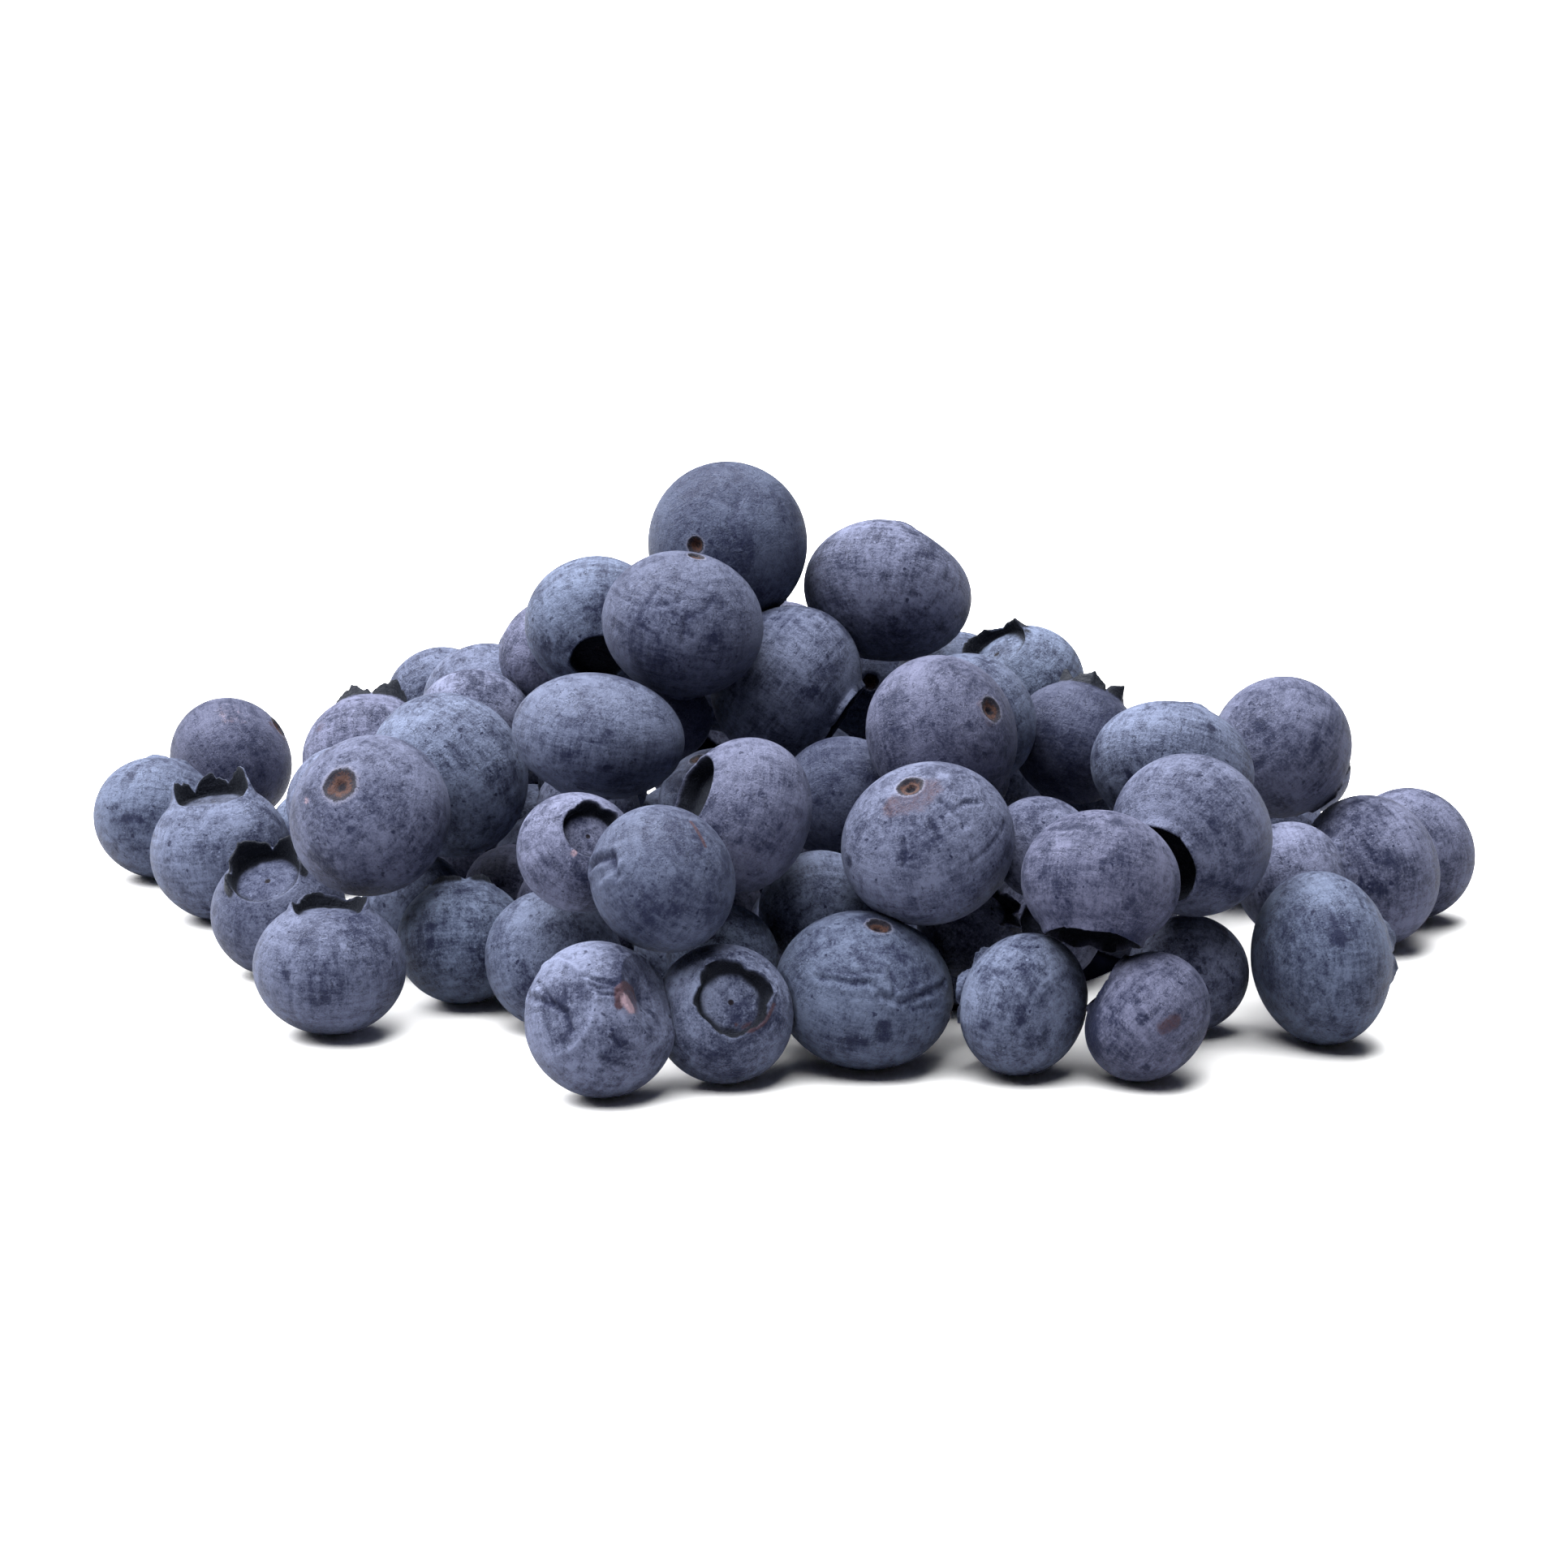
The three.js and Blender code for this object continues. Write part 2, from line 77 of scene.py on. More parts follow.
# Each berry that shows: its name, its middle across and down the picture, its width and its
# length from stem to crown, the clock angle and the lean from the viewer of the end named next
# (side when neither end shows), and FLOOR or the nearest depth that it can lie at.
SEEN = [
    ("front_1", 738, 1258, 14.6, 12.5, 55, 35, "stem", FLOOR),
    ("front_2", 892, 1249, 13.2, 11.6, 30, 20, "crown", FLOOR),
    ("front_3", 1065, 1221, 16.8, 14.1, 12, 62, "stem", FLOOR),
    ("front_4", 1261, 1238, 13.6, 10.8, 290, 125, "crown", FLOOR),
    ("front_5", 1414, 1253, 12.7, 11.2, 310, 100, "crown", FLOOR),
    ("left_5", 406, 1191, 14.6, 13.0, 0, 75, "crown", FLOOR),
    ("front_6", 1463, 1200, 11.7, 10.2, 0, 150, "side", FLOOR),
    ("front_7", 1628, 1180, 16.6, 12.6, 84, 110, "crown", FLOOR),
    ("left_14", 682, 1183, 13.5, 11.7, 250, 150, "side", FLOOR),
    ("left_13", 570, 1160, 13.0, 12.2, 357, 105, "crown", FLOOR),
    ("left_4", 343, 1123, 13.4, 12.0, 345, 47, "crown", FLOOR),
    ("left_2", 273, 1050, 14.5, 13.8, 352, 77, "crown", FLOOR),
    ("left_1", 194, 1007, 13.5, 12.7, 10, 115, "side", FLOOR),
    ("right_10", 1687, 1073, 15.4, 13.4, 76, 120, "side", FLOOR),
    ("right_11", 1737, 1052, 13.6, 12.0, 70, 145, "side", FLOOR),
    ("middle_4", 816, 1083, 14.0, 12.8, 50, 55, "stem", 6),
    ("middle_5", 890, 1180, 10.8, 10.3, 200, 115, "side", 12),
    ("right_8", 1355, 1085, 14.9, 13.0, 188, 78, "crown", 8),
    ("middle_9", 1143, 1040, 16.4, 14.6, 342, 51, "stem", 14),
    ("middle_12", 1195, 1145, 10.9, 8.4, 45, 55, "crown", 18),
    ("middle_11", 1010, 1120, 11.7, 10.0, 345, 145, "side", 16),
    ("left_6", 456, 1005, 16.1, 13.8, 320, 35, "stem", 30),
    ("middle_6", 712, 1050, 11.8, 10.1, 35, 34, "crown", 12),
    ("middle_8", 915, 1005, 15.3, 12.6, 293, 68, "crown", 14),
    ("right_7", 1468, 1029, 15.9, 14.0, 231, 42, "crown", 18),
    ("right_12", 1592, 1085, 11.5, 10.9, 75, 95, "crown", 26),
    ("right_9", 1285, 1045, 10.4, 9.0, 215, 140, "side", 16),
    ("top_2", 841, 768, 15.8, 14.0, 12, 70, "stem", 38),
    ("middle_7", 737, 907, 16.7, 11.9, 188, 100, "side", 28),
    ("top_6", 968, 842, 16.0, 14.4, 125, 86, "crown", 36),
    ("right_1", 1160, 905, 15.4, 13.8, 63, 49, "stem", 28),
    ("left_7", 552, 956, 16.8, 14.5, 55, 130, "side", 36),
    ("middle_10", 1040, 985, 12.7, 10.9, 0, 145, "side", 24),
    ("top_8", 822, 885, 8.7, 7.5, 0, 140, "side", 34),
    ("right_5", 1445, 947, 16.2, 12.1, 15, 115, "side", 36),
    ("top_4", 733, 768, 14.1, 12.3, 171, 40, "crown", 48),
    ("left_9", 430, 990, 12.4, 10.7, 190, 140, "side", 44),
    ("right_2", 1195, 888, 13.6, 11.7, 50, 135, "side", 40),
    ("left_8", 455, 935, 13.8, 13.0, 0, 120, "crown", 50),
    ("right_4", 1325, 915, 13.0, 12.0, 20, 105, "crown", 44),
    ("right_6", 1578, 920, 14.3, 13.9, 135, 120, "crown", 54),
    ("left_10", 585, 896, 12.3, 10.6, 0, 140, "side", 52),
    ("top_3", 1093, 728, 16.9, 13.3, 12, 115, "side", 52),
    ("top_1", 896, 670, 16.3, 14.0, 262, 26, "stem", 50),
    ("right_3", 1258, 848, 13.2, 12.3, 323, 64, "crown", 60),
    ("left_3", 285, 937, 13.6, 12.7, 55, 82, "stem", 70),
    ("left_12", 600, 870, 13.4, 11.5, 0, 150, "side", 60),
    ("top_5", 685, 805, 11.6, 9.9, 315, 150, "side", 58),
    ("left_11", 545, 865, 11.9, 10.2, 0, 150, "side", 66),
    ("top_9", 965, 802, 10.7, 9.2, 0, 140, "side", 56),
]

# The far side: berries of drawn sizes, each let down at the lowest of the PLACES spread over
# the foot of the heap where it is out of sight.
FOOT = {"x": 0, "y": 58, "half_wide": 68, "half_deep": 60}
PLACES = 900
GOLDEN_TURN = math.pi * (3 - math.sqrt(5))
HIDDEN = 90
SEED = 20
HIDDEN_RADIUS = (5, 7.5)
HIDDEN_HIGH = 52
HIDDEN_WIDE = 1.04
HIDDEN_LONG = 0.9
OUTLINE_POINTS = 12

# Places in the picture where light shows between the top berries.
LIGHT_GAPS = [
    {"across": 983, "down": 735, "radius": 12},
    {"across": 787, "down": 668, "radius": 12},
]

# The core under the berries, a low mound. Berries let down on it sit SUNK of their radius up.
CORE = {"x": -1, "y": 61, "half_wide": 46, "half_deep": 44, "high": 24, "power": 0.75}
SUNK = 0.3

# Inside the heap, berries fill the room in layers, and a part of the core shows below them.
INNER_SEED = 7
INNER_HEIGHTS = (6, 15, 24)
INNER_PITCH = 2.5
INNER_PROUD = 0.35
INNER_MOST = 50
CORE_SHOWN = {"wide": 0.85, "high": 0.4}


def sight(across, down):
    """The direction from EYE through a place in the picture."""
    right = (across - PICTURE / 2) / FOCAL
    lower = (down - PICTURE / 2) / FOCAL
    return AHEAD + ASIDE * right - ABOVE * lower


def facing(clock_degrees, lean_degrees):
    """The way an end faces, from its clock angle and its lean away from the viewer."""
    clock = math.radians(clock_degrees)
    lean = math.radians(lean_degrees)
    sideways = ASIDE * math.sin(clock) + ABOVE * math.cos(clock)
    return sideways * math.sin(lean) - AHEAD * math.cos(lean)


class Berry:
    """One berry: a flattened ball about its axis, which points from its stem to its crown."""

    def __init__(self, name, half_wide, half_long, axis, end=None):
        self.name = name
        self.half_wide = half_wide
        self.half_long = half_long
        self.axis = axis
        self.end = end
        self.round = (2 * half_wide + half_long) / 3 - PRESS / 2
        self.place = None

    def reach(self, way):
        """Half the height of the berry measured along a direction."""
        along = float(self.axis @ way) ** 2
        return math.sqrt((1 - along) * self.half_wide**2 + along * self.half_long**2)

    def radius_towards(self, way):
        """The distance from the middle to the skin in a direction."""
        along = float(self.axis @ way) ** 2
        return 1 / math.sqrt((1 - along) / self.half_wide**2 + along / self.half_long**2)


def gap_between(a, b):
    """The gap between two berries, or minus how far they press into each other."""
    apart = b.place - a.place
    far = float(np.linalg.norm(apart))
    if far > a.half_wide + b.half_wide:
        return far - a.half_wide - b.half_wide
    return far - a.radius_towards(apart / far) - b.radius_towards(apart / far)


def rounded(place):
    """Places are kept to a hundredth of a millimetre."""
    return np.floor(place * 100 + 0.5) / 100


def lay_seen():
    """The berries that show, each slid along its line of sight to the first place it fits."""
    laid = []
    for name, across, down, wide, long, clock, lean, end, nearest in SEEN:
        axis = facing(clock, lean) * (-1 if end == "stem" else 1)
        berry = Berry(name, wide / 2, long / 2, axis, end)
        ray = sight(across, down)
        if nearest is FLOOR:
            berry.place = EYE + ray * (EYE[2] - berry.reach(UP)) / -ray[2]
        else:
            for step in range(MOST_STEPS):
                berry.place = EYE + ray * (nearest + step * STEP - EYE[1]) / ray[1]
                if all(gap_between(berry, other) > -PRESS for other in laid):
                    break
        berry.place = rounded(berry.place)
        laid.append(berry)
    return laid


def drawer(seed):
    """Random draws by a fixed rule, the same on every run."""
    multiplier = 16807
    modulus = 2147483647
    state = seed

    def draw(low, high):
        nonlocal state
        state = state * multiplier % modulus
        return low + (high - low) * state / modulus

    return draw


def in_picture(place):
    """Where a place shows in the picture, and the steps of the picture to a millimetre there."""
    away = place - EYE
    scale = FOCAL / float(away @ AHEAD)
    across = PICTURE / 2 + scale * float(away @ ASIDE)
    down = PICTURE / 2 - scale * float(away @ ABOVE)
    return across, down, scale


def is_hidden(place, radius, discs):
    """Whether each point of the outline lies behind a nearer berry, or in a chink between
    nearer berries where it covers no farther one."""
    across, down, scale = in_picture(place)
    for gap in LIGHT_GAPS:
        from_gap = math.hypot(across - gap["across"], down - gap["down"])
        if from_gap < radius * scale + gap["radius"]:
            return False
    turn = np.arange(OUTLINE_POINTS) * 2 * math.pi / OUTLINE_POINTS
    x = (across + radius * scale * np.cos(turn))[:, None]
    y = (down + radius * scale * np.sin(turn))[:, None]
    disc_x, disc_y, disc_radius, depth = discs
    nearer = depth < place[1]
    covers = np.hypot(x - disc_x, y - disc_y) < disc_radius
    column = (abs(x - disc_x) < disc_radius) & nearer
    chink = (column & (disc_y < y)).any(1) & (column & (disc_y > y)).any(1)
    return bool(((covers & nearer).any(1) | (chink & ~covers.any(1))).all())


def core_height(x, y):
    """The height of the core's mound at a place."""
    out = np.hypot((x - CORE["x"]) / CORE["half_wide"], (y - CORE["y"]) / CORE["half_deep"])
    return CORE["high"] * np.maximum(1 - out**2, 0) ** CORE["power"]


def resting_heights(x, y, radius, laid):
    """The heights at which a berry let down at each x, y comes to rest."""
    height = np.maximum(radius, core_height(x, y) + SUNK * radius)
    for other in laid:
        meet = (radius + other.round) ** 2
        apart = (x - other.place[0]) ** 2 + (y - other.place[1]) ** 2
        on_top = other.place[2] + np.sqrt(np.maximum(meet - apart, 0))
        height = np.where(apart < meet, np.maximum(height, on_top), height)
    return height


def lowest_place(radius, x, y, highest, laid, discs):
    """The lowest of the places x, y where a berry rests out of sight, or None."""
    z = resting_heights(x, y, radius, laid)
    for i in np.argsort(z, kind="stable"):
        place = np.array((x[i], y[i], z[i]))
        if z[i] - radius <= highest[i] and is_hidden(place, radius, discs):
            return place
    return None


def add_guessed(laid, name, radius, axis, place):
    """Adds a berry that the photo doesn't show, of the usual form."""
    berry = Berry(name, radius * HIDDEN_WIDE, radius * HIDDEN_LONG, axis)
    berry.round = radius
    berry.place = place
    laid.append(berry)


def lay_hidden(laid):
    """Adds the berries of the far side to those that show."""
    draw = drawer(SEED)
    discs = []
    for berry in laid:
        across, down, scale = in_picture(berry.place)
        least = min(berry.reach(ABOVE), berry.reach(ASIDE))
        discs.append((across, down, least * scale, berry.place[1]))
    discs = np.array(discs).T
    index = np.arange(PLACES)
    out = np.sqrt((index + 0.5) / PLACES)
    x = FOOT["x"] + FOOT["half_wide"] * out * np.cos(index * GOLDEN_TURN)
    y = FOOT["y"] + FOOT["half_deep"] * out * np.sin(index * GOLDEN_TURN)
    highest = HIDDEN_HIGH * (1 - out**2)
    for number in range(HIDDEN):
        radius = draw(*HIDDEN_RADIUS)
        axis = facing(draw(0, 360), draw(0, 180))
        place = lowest_place(radius, x, y, highest, laid, discs)
        if place is None:
            continue
        add_guessed(laid, f"far_{number}", radius, axis, rounded(place))


def inner_grid():
    """Places inside the heap, layer by layer: x, y and the least height of a berry there."""
    for height in INNER_HEIGHTS:
        for x in np.arange(-CORE["half_wide"], CORE["half_wide"], INNER_PITCH) + CORE["x"]:
            for y in np.arange(-CORE["half_deep"], CORE["half_deep"], INNER_PITCH) + CORE["y"]:
                yield x, y, height


def lay_inner(laid):
    """Adds the berries inside the heap, wherever one finds room among the others."""
    draw = drawer(INNER_SEED)
    outer = len(laid)
    for x, y, height in inner_grid():
        radius = draw(*HIDDEN_RADIUS)
        axis = facing(draw(0, 360), draw(0, 180))
        place = rounded(np.array((x, y, max(height, radius))))
        if place[2] > core_height(x, y) + INNER_PROUD * radius or len(laid) - outer >= INNER_MOST:
            continue
        apart = np.linalg.norm([berry.place - place for berry in laid], axis=1)
        if (apart < np.array([berry.round for berry in laid]) + radius).any():
            continue
        add_guessed(laid, f"inner_{len(laid) - outer}", radius, axis, place)


# How finely a berry is meshed: columns round its axis and rings from its stem to its crown.
WRINKLED = {"columns": 240, "stem": 16, "body": 108, "collar": 3, "wall": 3, "floor": 4}
FINE = {"columns": 104, "stem": 8, "body": 42, "collar": 7, "wall": 7, "floor": 8}
PLAIN = {"columns": 72, "stem": 8, "body": 32, "collar": 3, "wall": 3, "floor": 3}
INNER = {"columns": 30, "stem": 4, "body": 14, "collar": 3, "wall": 3, "floor": 3}
COARSE = {"columns": 36, "stem": 5, "body": 18, "collar": 3, "wall": 3, "floor": 3}

# How far the columns of a berry that shows are drawn towards the viewer's side.
CROWDING = 0.35

# The mesh of a berry by the end that shows, and the pieces that such berries are shared over.
DETAIL = {"crown": FINE, "stem": PLAIN, "side": PLAIN, None: COARSE}
LOTS = {"crown": 3, "stem": 2, "side": 2, None: 2}
LOT_NAMES = {"crown": "crowned", "stem": "scarred", "side": "turned", None: "far"}

# The stem end, in shares of the half width, and the depths of the scar's dish and pore. The
# edges and the lip of the scar are in shares of its own radius.
POLE = 0.03
STEM_ZONE = 0.30
DISH_EDGE = (0.7, 1.0)
PORE_EDGE = (0.25, 0.5)
LIP_AT = 1.2
LIP_WIDE = 0.035
SCAR_REACH = 1.6
DISH_DEEP = 0.30
PORE_DEEP = 0.35
LIP_HIGH = 0.08
SCARS = {
    "left_6": 0.20,
    "middle_9": 0.14,
    "right_1": 0.15,
    "top_2": 0.10,
    "top_1": 0.10,
    "front_3": 0.13,
    "left_3": 0.16,
}
FAR_SCAR = 0.13

# The lobes of a crown: how pointed they are, their least and most height as shares, and how
# far they wander round the rim, how ragged their edge is, and where the viewer's side begins.
LOBES = 5
LOBE_POINT = 0.6
LOBE_HEIGHTS = (0.5, 1.1)
LOBE_MOST = 1.3
LOBE_WANDER = 0.16
LOBE_RAGGED = 0.16
NEAR_SIDE = (-0.3, 0.5)

# The crown's collar and wall: the powers by which they bend out and up, and the heights in
# millimetres over which the outside of a lobe turns black and its inside dark, its own black
# deepened by painted shade under taller lobes.
COLLAR = 0.10
COLLAR_BEND = 1.6
COLLAR_BLACK = 1.5
FLARE_BEND = 1.4
BLACK_FROM = (0.1, 0.5)
INSIDE_DARK_AND_SHADE = (0.3, 0.9)
# The shares down the wall over which it turns dark: the crown's own black, with painted shade deeper
# towards the pit floor.
WALL_DARK_AND_SHADE = (-0.4, 0.5)
LIP_THICK = 0.22
LIP_ROUND = 0.04
LIP_DARK = 0.2

# The floor of the pit: its dome, its folds, the dot in its middle, and the edge of the painted shade
# that darkens it towards the wall.
FLOOR_INSET = 0.02
FLOOR_MIDDLE = 0.04
DOME_HIGH = 0.25
DOT_DEEP = 0.3
DOT_WIDE = 0.09
FOLD_HIGH = 0.07
SHADE_EDGE_WANDER = 0.05
FLOOR_SHADE_EDGE = (0.75, 1.0)

# How often each wave of a crown goes round it: of its lobes, their edge, the floor, and the edge of the
# floor's painted shade.
WANDER_WAVES = (1, 2)
RAGGED_WAVES = (11, 17, 29, 41)
FOLD_WAVES = (5, 9, 14, 22)
SHADE_EDGE_WAVES = (2, 3, 5, 8)


def crown(rim, high, flare=0.08, deep=0.9, pale=0.3, black=0.0, near=0.2):
    """A crown: the radius of its rim as a share of the half width, the height of its lobes, how
    far their tips lean outward as a share, the depth of its pit, how much of the pit floor is kept
    out of its painted shade, how black the lobes are outside, and the share of their height left
    on the viewer's side."""
    return {
        "rim": rim,
        "high": high,
        "flare": flare,
        "deep": deep,
        "pale": pale,
        "black": black,
        "near": near,
    }


USUAL_CROWN = crown(0.44, 0.5, near=1.0, black=0.4)
TURNED_CROWN = crown(0.42, 0.3, near=1.0, black=0.4)
CROWNS = {
    "front_2": crown(0.51, 0.3, flare=0.20, deep=1.1, pale=0.95, near=0.5),
    "front_4": crown(0.50, 1.7, flare=0.26, near=1.0),
    "front_5": crown(0.44, 0.4, near=1.0),
    "front_7": crown(0.46, 0.9, flare=0.05, black=0.3, near=1.0),
    "left_2": crown(0.54, 3.2, flare=0.02, deep=0.6, pale=0.6, black=0.2, near=0.05),
    "left_4": crown(0.55, 2.1, deep=0.8, pale=1.0, black=1.0, near=0.0),
    "left_5": crown(0.48, 1.1, flare=0.06, deep=0.6, pale=0.9, black=0.1, near=0.1),
    "left_8": crown(0.54, 3.0, flare=0.10, black=1.0, near=0.8),
    "left_13": crown(0.48, 0.8, black=0.6, near=1.0),
    "middle_6": crown(0.50, 0.4, flare=0.10, deep=1.2, pale=0.8),
    "middle_8": crown(0.52, 0.4, flare=0.06, deep=1.8, pale=0.0),
    "middle_12": crown(0.40, 0.9, flare=0.20, deep=0.5, pale=1.0, near=1.0),
    "right_3": crown(0.58, 1.8, flare=0.04, deep=0.4, pale=1.0, black=1.0, near=0.0),
    "right_4": crown(0.46, 1.6, black=1.0, near=1.0),
    "right_6": crown(0.46, 1.3, flare=0.12, black=0.4, near=1.0),
    "right_7": crown(0.50, 0.9, flare=0.04, deep=3.0, pale=0.0, near=0.8),
    "right_8": crown(0.58, 1.0, flare=0.08, deep=2.6, pale=0.0, near=0.9),
    "right_12": crown(0.42, 1.2, flare=0.12, black=0.2, near=1.0),
    "top_6": crown(0.48, 0.8, flare=0.14, deep=1.6, pale=0.0, near=1.0),
    "top_4": crown(0.42, 0.3, deep=1.6, pale=0.0),
}

# Marks on single berries: the kind, its width in steps of the picture, its strength (for a
# crease, a ridge, a dent or a flat its height in millimetres), and the places in the picture it
# runs through.
MARKS = [
    ("front_1", "dent", 44, 0.8, ((690, 1245),)),
    ("front_1", "flat", 0.1, 1.5, ((815, 1222),)),
    ("front_1", "dent", 22, 0.6, ((812, 1220),)),
    ("front_1", "ridge", 4, 0.16, ((671, 1192), (692, 1186), (709, 1192), (725, 1209), (734, 1230))),
    ("front_1", "ridge", 5, 0.20, ((734, 1230), (731, 1254), (721, 1275), (706, 1292), (684, 1302))),
    ("front_1", "ridge", 4, 0.18, ((702, 1190), (723, 1202), (735, 1224), (741, 1244), (742, 1262))),
    ("front_1", "crease", 4, 0.26, ((653, 1228), (666, 1233), (679, 1237), (692, 1247), (702, 1271))),
    ("front_1", "crease", 3, 0.18, ((666, 1212), (671, 1222), (677, 1233))),
    ("front_1", "crease", 3, 0.22, ((720, 1200), (732, 1204), (745, 1207), (760, 1210))),
    ("front_1", "crease", 3, 0.20, ((727, 1211), (741, 1214), (755, 1214), (763, 1218))),
    ("front_1", "crease", 3, 0.18, ((732, 1217), (744, 1221), (760, 1223))),
    ("front_1", "crease", 3, 0.12, ((741, 1304), (760, 1310), (779, 1313))),
    ("front_1", "crease", 3, 0.12, ((757, 1277), (765, 1290), (782, 1296))),
    ("front_1", "rust", 7, 1.0, ((765, 1236), (765, 1216), (777, 1207), (793, 1208), (803, 1220))),
    ("front_1", "rust", 24, 0.75, ((785, 1226),)),
    ("front_1", "blush", 11, 1.0, ((776, 1230), (783, 1238))),
    ("front_1", "spot", 5, 0.5, ((772, 1287),)),
    ("front_2", "rust", 3, 0.9, ((912, 1270), (928, 1270), (941, 1262), (950, 1248), (955, 1236))),
    ("front_3", "crease", 4, 0.20, ((1010, 1204), (1048, 1212), (1072, 1211), (1096, 1230))),
    ("front_3", "crease", 4, 0.26, ((1084, 1227), (1110, 1235), (1135, 1226), (1160, 1213))),
    ("front_3", "crease", 4, 0.16, ((1118, 1240), (1145, 1238), (1168, 1244))),
    ("front_3", "crease", 3, 0.12, ((1096, 1196), (1102, 1212), (1100, 1226))),
    ("front_3", "crease", 3, 0.10, ((1020, 1196), (1050, 1200), (1084, 1198))),
    ("front_3", "dent", 12, 0.2, ((1053, 1281),)),
    ("front_3", "dent", 11, 0.2, ((1087, 1268),)),
    ("front_3", "spot", 11, 0.5, ((1053, 1281), (1060, 1282))),
    ("front_3", "spot", 10, 0.6, ((1087, 1263), (1088, 1274))),
    ("front_4", "spot", 7, 0.7, ((1259, 1244), (1258, 1258))),
    ("front_4", "crease", 3, 0.10, ((1222, 1206), (1250, 1198), (1290, 1202))),
    ("front_5", "dent", 34, 0.7, ((1344, 1226),)),
    # Painted shade along front_5's left side, where its flat facet turns from the light.
    ("front_5", "spot", 20, 0.45, ((1348, 1215), (1340, 1250), (1350, 1285))),
    ("front_5", "rust", 10, 0.8, ((1434, 1266), (1446, 1258))),
    ("front_5", "spot", 6, 0.6, ((1400, 1235),)),
    ("front_5", "spot", 7, 0.7, ((1408, 1255),)),
    ("front_5", "spot", 5, 0.6, ((1412, 1313),)),
    ("front_7", "spot", 9, 0.8, ((1648, 1158),)),
    ("front_7", "spot", 5, 0.5, ((1643, 1250),)),
    ("left_1", "spot", 10, 0.5, ((160, 959),)),
    ("left_1", "spot", 7, 0.7, ((157, 1008),)),
    ("left_1", "spot", 5, 0.6, ((173, 1009),)),
    ("left_3", "blush", 20, 0.3, ((287, 880),)),
    ("left_3", "rust", 5, 0.7, ((336, 891), (352, 908))),
    ("left_5", "crease", 4, 0.14, ((352, 1190), (356, 1208), (362, 1224))),
    ("left_5", "pale", 4, 0.8, ((422, 1167),)),
    ("left_6", "pale", 3, 0.6, ((463, 1022), (472, 1031), (481, 1026))),
    ("left_6", "pale", 3, 0.6, ((472, 1031), (474, 1042))),
    ("left_6", "blush", 5, 0.7, ((374, 985),)),
    ("left_8", "rust", 8, 0.4, ((396, 897),)),
    ("middle_4", "crease", 5, 0.45, ((730, 1070), (740, 1060), (757, 1057), (762, 1078))),
    ("middle_4", "ridge", 5, 0.25, ((745, 1090), (758, 1080), (768, 1066))),
    ("middle_4", "pale", 5, 0.8, ((827, 1073),)),
    ("middle_4", "rust", 3, 0.9, ((852, 1012), (862, 1026), (870, 1042))),
    ("middle_6", "blush", 5, 0.8, ((707, 1051),)),
    ("middle_7", "spot", 6, 0.5, ((746, 943),)),
    ("middle_9", "crease", 4, 0.20, ((1160, 985), (1178, 1003), (1190, 1018))),
    ("middle_9", "crease", 3, 0.16, ((1178, 996), (1190, 988), (1204, 990))),
    ("middle_9", "crease", 3, 0.16, ((1146, 1010), (1154, 1024), (1160, 1038))),
    ("middle_9", "crease", 3, 0.12, ((1113, 1036), (1116, 1050), (1114, 1066))),
    ("middle_9", "crease", 3, 0.12, ((1085, 985), (1094, 1000), (1096, 1016))),
    ("middle_9", "crease", 3, 0.14, ((1196, 1060), (1216, 1042), (1232, 1016))),
    ("middle_9", "rust", 18, 0.6, ((1100, 990), (1128, 986), (1146, 968))),
    # A pale mark that is a painted highlight near the top of middle_9.
    ("middle_9", "pale", 8, 0.8, ((1162, 953),)),
    ("middle_9", "spot", 8, 0.6, ((1050, 1060),)),
    ("middle_9", "spot", 12, 0.6, ((1236, 1046),)),
    ("right_1", "rust", 9, 0.5, ((1212, 866), (1222, 886))),
    ("right_5", "spot", 9, 0.5, ((1487, 901),)),
    ("right_5", "spot", 9, 0.4, ((1408, 899),)),
    ("right_6", "spot", 9, 0.6, ((1553, 894),)),
    ("right_6", "spot", 9, 0.6, ((1620, 915),)),
    ("right_6", "rust", 6, 0.4, ((1512, 860), (1524, 852))),
    ("right_8", "dent", 12, 0.3, ((1308, 1022), (1340, 1026))),
    ("right_8", "spot", 7, 0.4, ((1300, 1020), (1322, 1016), (1350, 1026))),
    ("right_8", "crease", 4, 0.14, ((1426, 1037), (1440, 1070), (1442, 1110))),
    ("top_1", "crease", 4, 0.12, ((905, 586), (912, 612), (900, 640))),
    ("top_1", "dent", 26, 0.3, ((908, 612),)),
    ("top_2", "crease", 3, 0.07, ((822, 747), (838, 764), (852, 784))),
    ("top_2", "crease", 3, 0.07, ((846, 756), (845, 772), (841, 790))),
    ("top_2", "crease", 3, 0.04, ((783, 744), (808, 748), (838, 742))),
    ("top_2", "crease", 3, 0.05, ((812, 724), (800, 742), (792, 762))),
    ("top_2", "crease", 3, 0.04, ((846, 762), (866, 752), (878, 738))),
    ("top_2", "crease", 3, 0.04, ((796, 770), (812, 784), (818, 800))),
    ("top_3", "dent", 50, 0.6, ((1160, 662),)),
    ("top_6", "pale", 18, 0.5, ((1052, 806), (1048, 836))),
]
MARK_SHARES = ("spot", "rust", "pale", "blush")
SHARES = ("scar", "wall", "pit_floor", "lobe", *MARK_SHARES)
RIDGE_PALE = 0.4
# How dark the hollow of a crease is painted, as painted shade in the spot share.
CREASE_SHADE = 0.3
CREASE_LIP = 0.35
CREASE_LIP_AT = 2.2
MARK_EDGE = (0.5, 1.4)

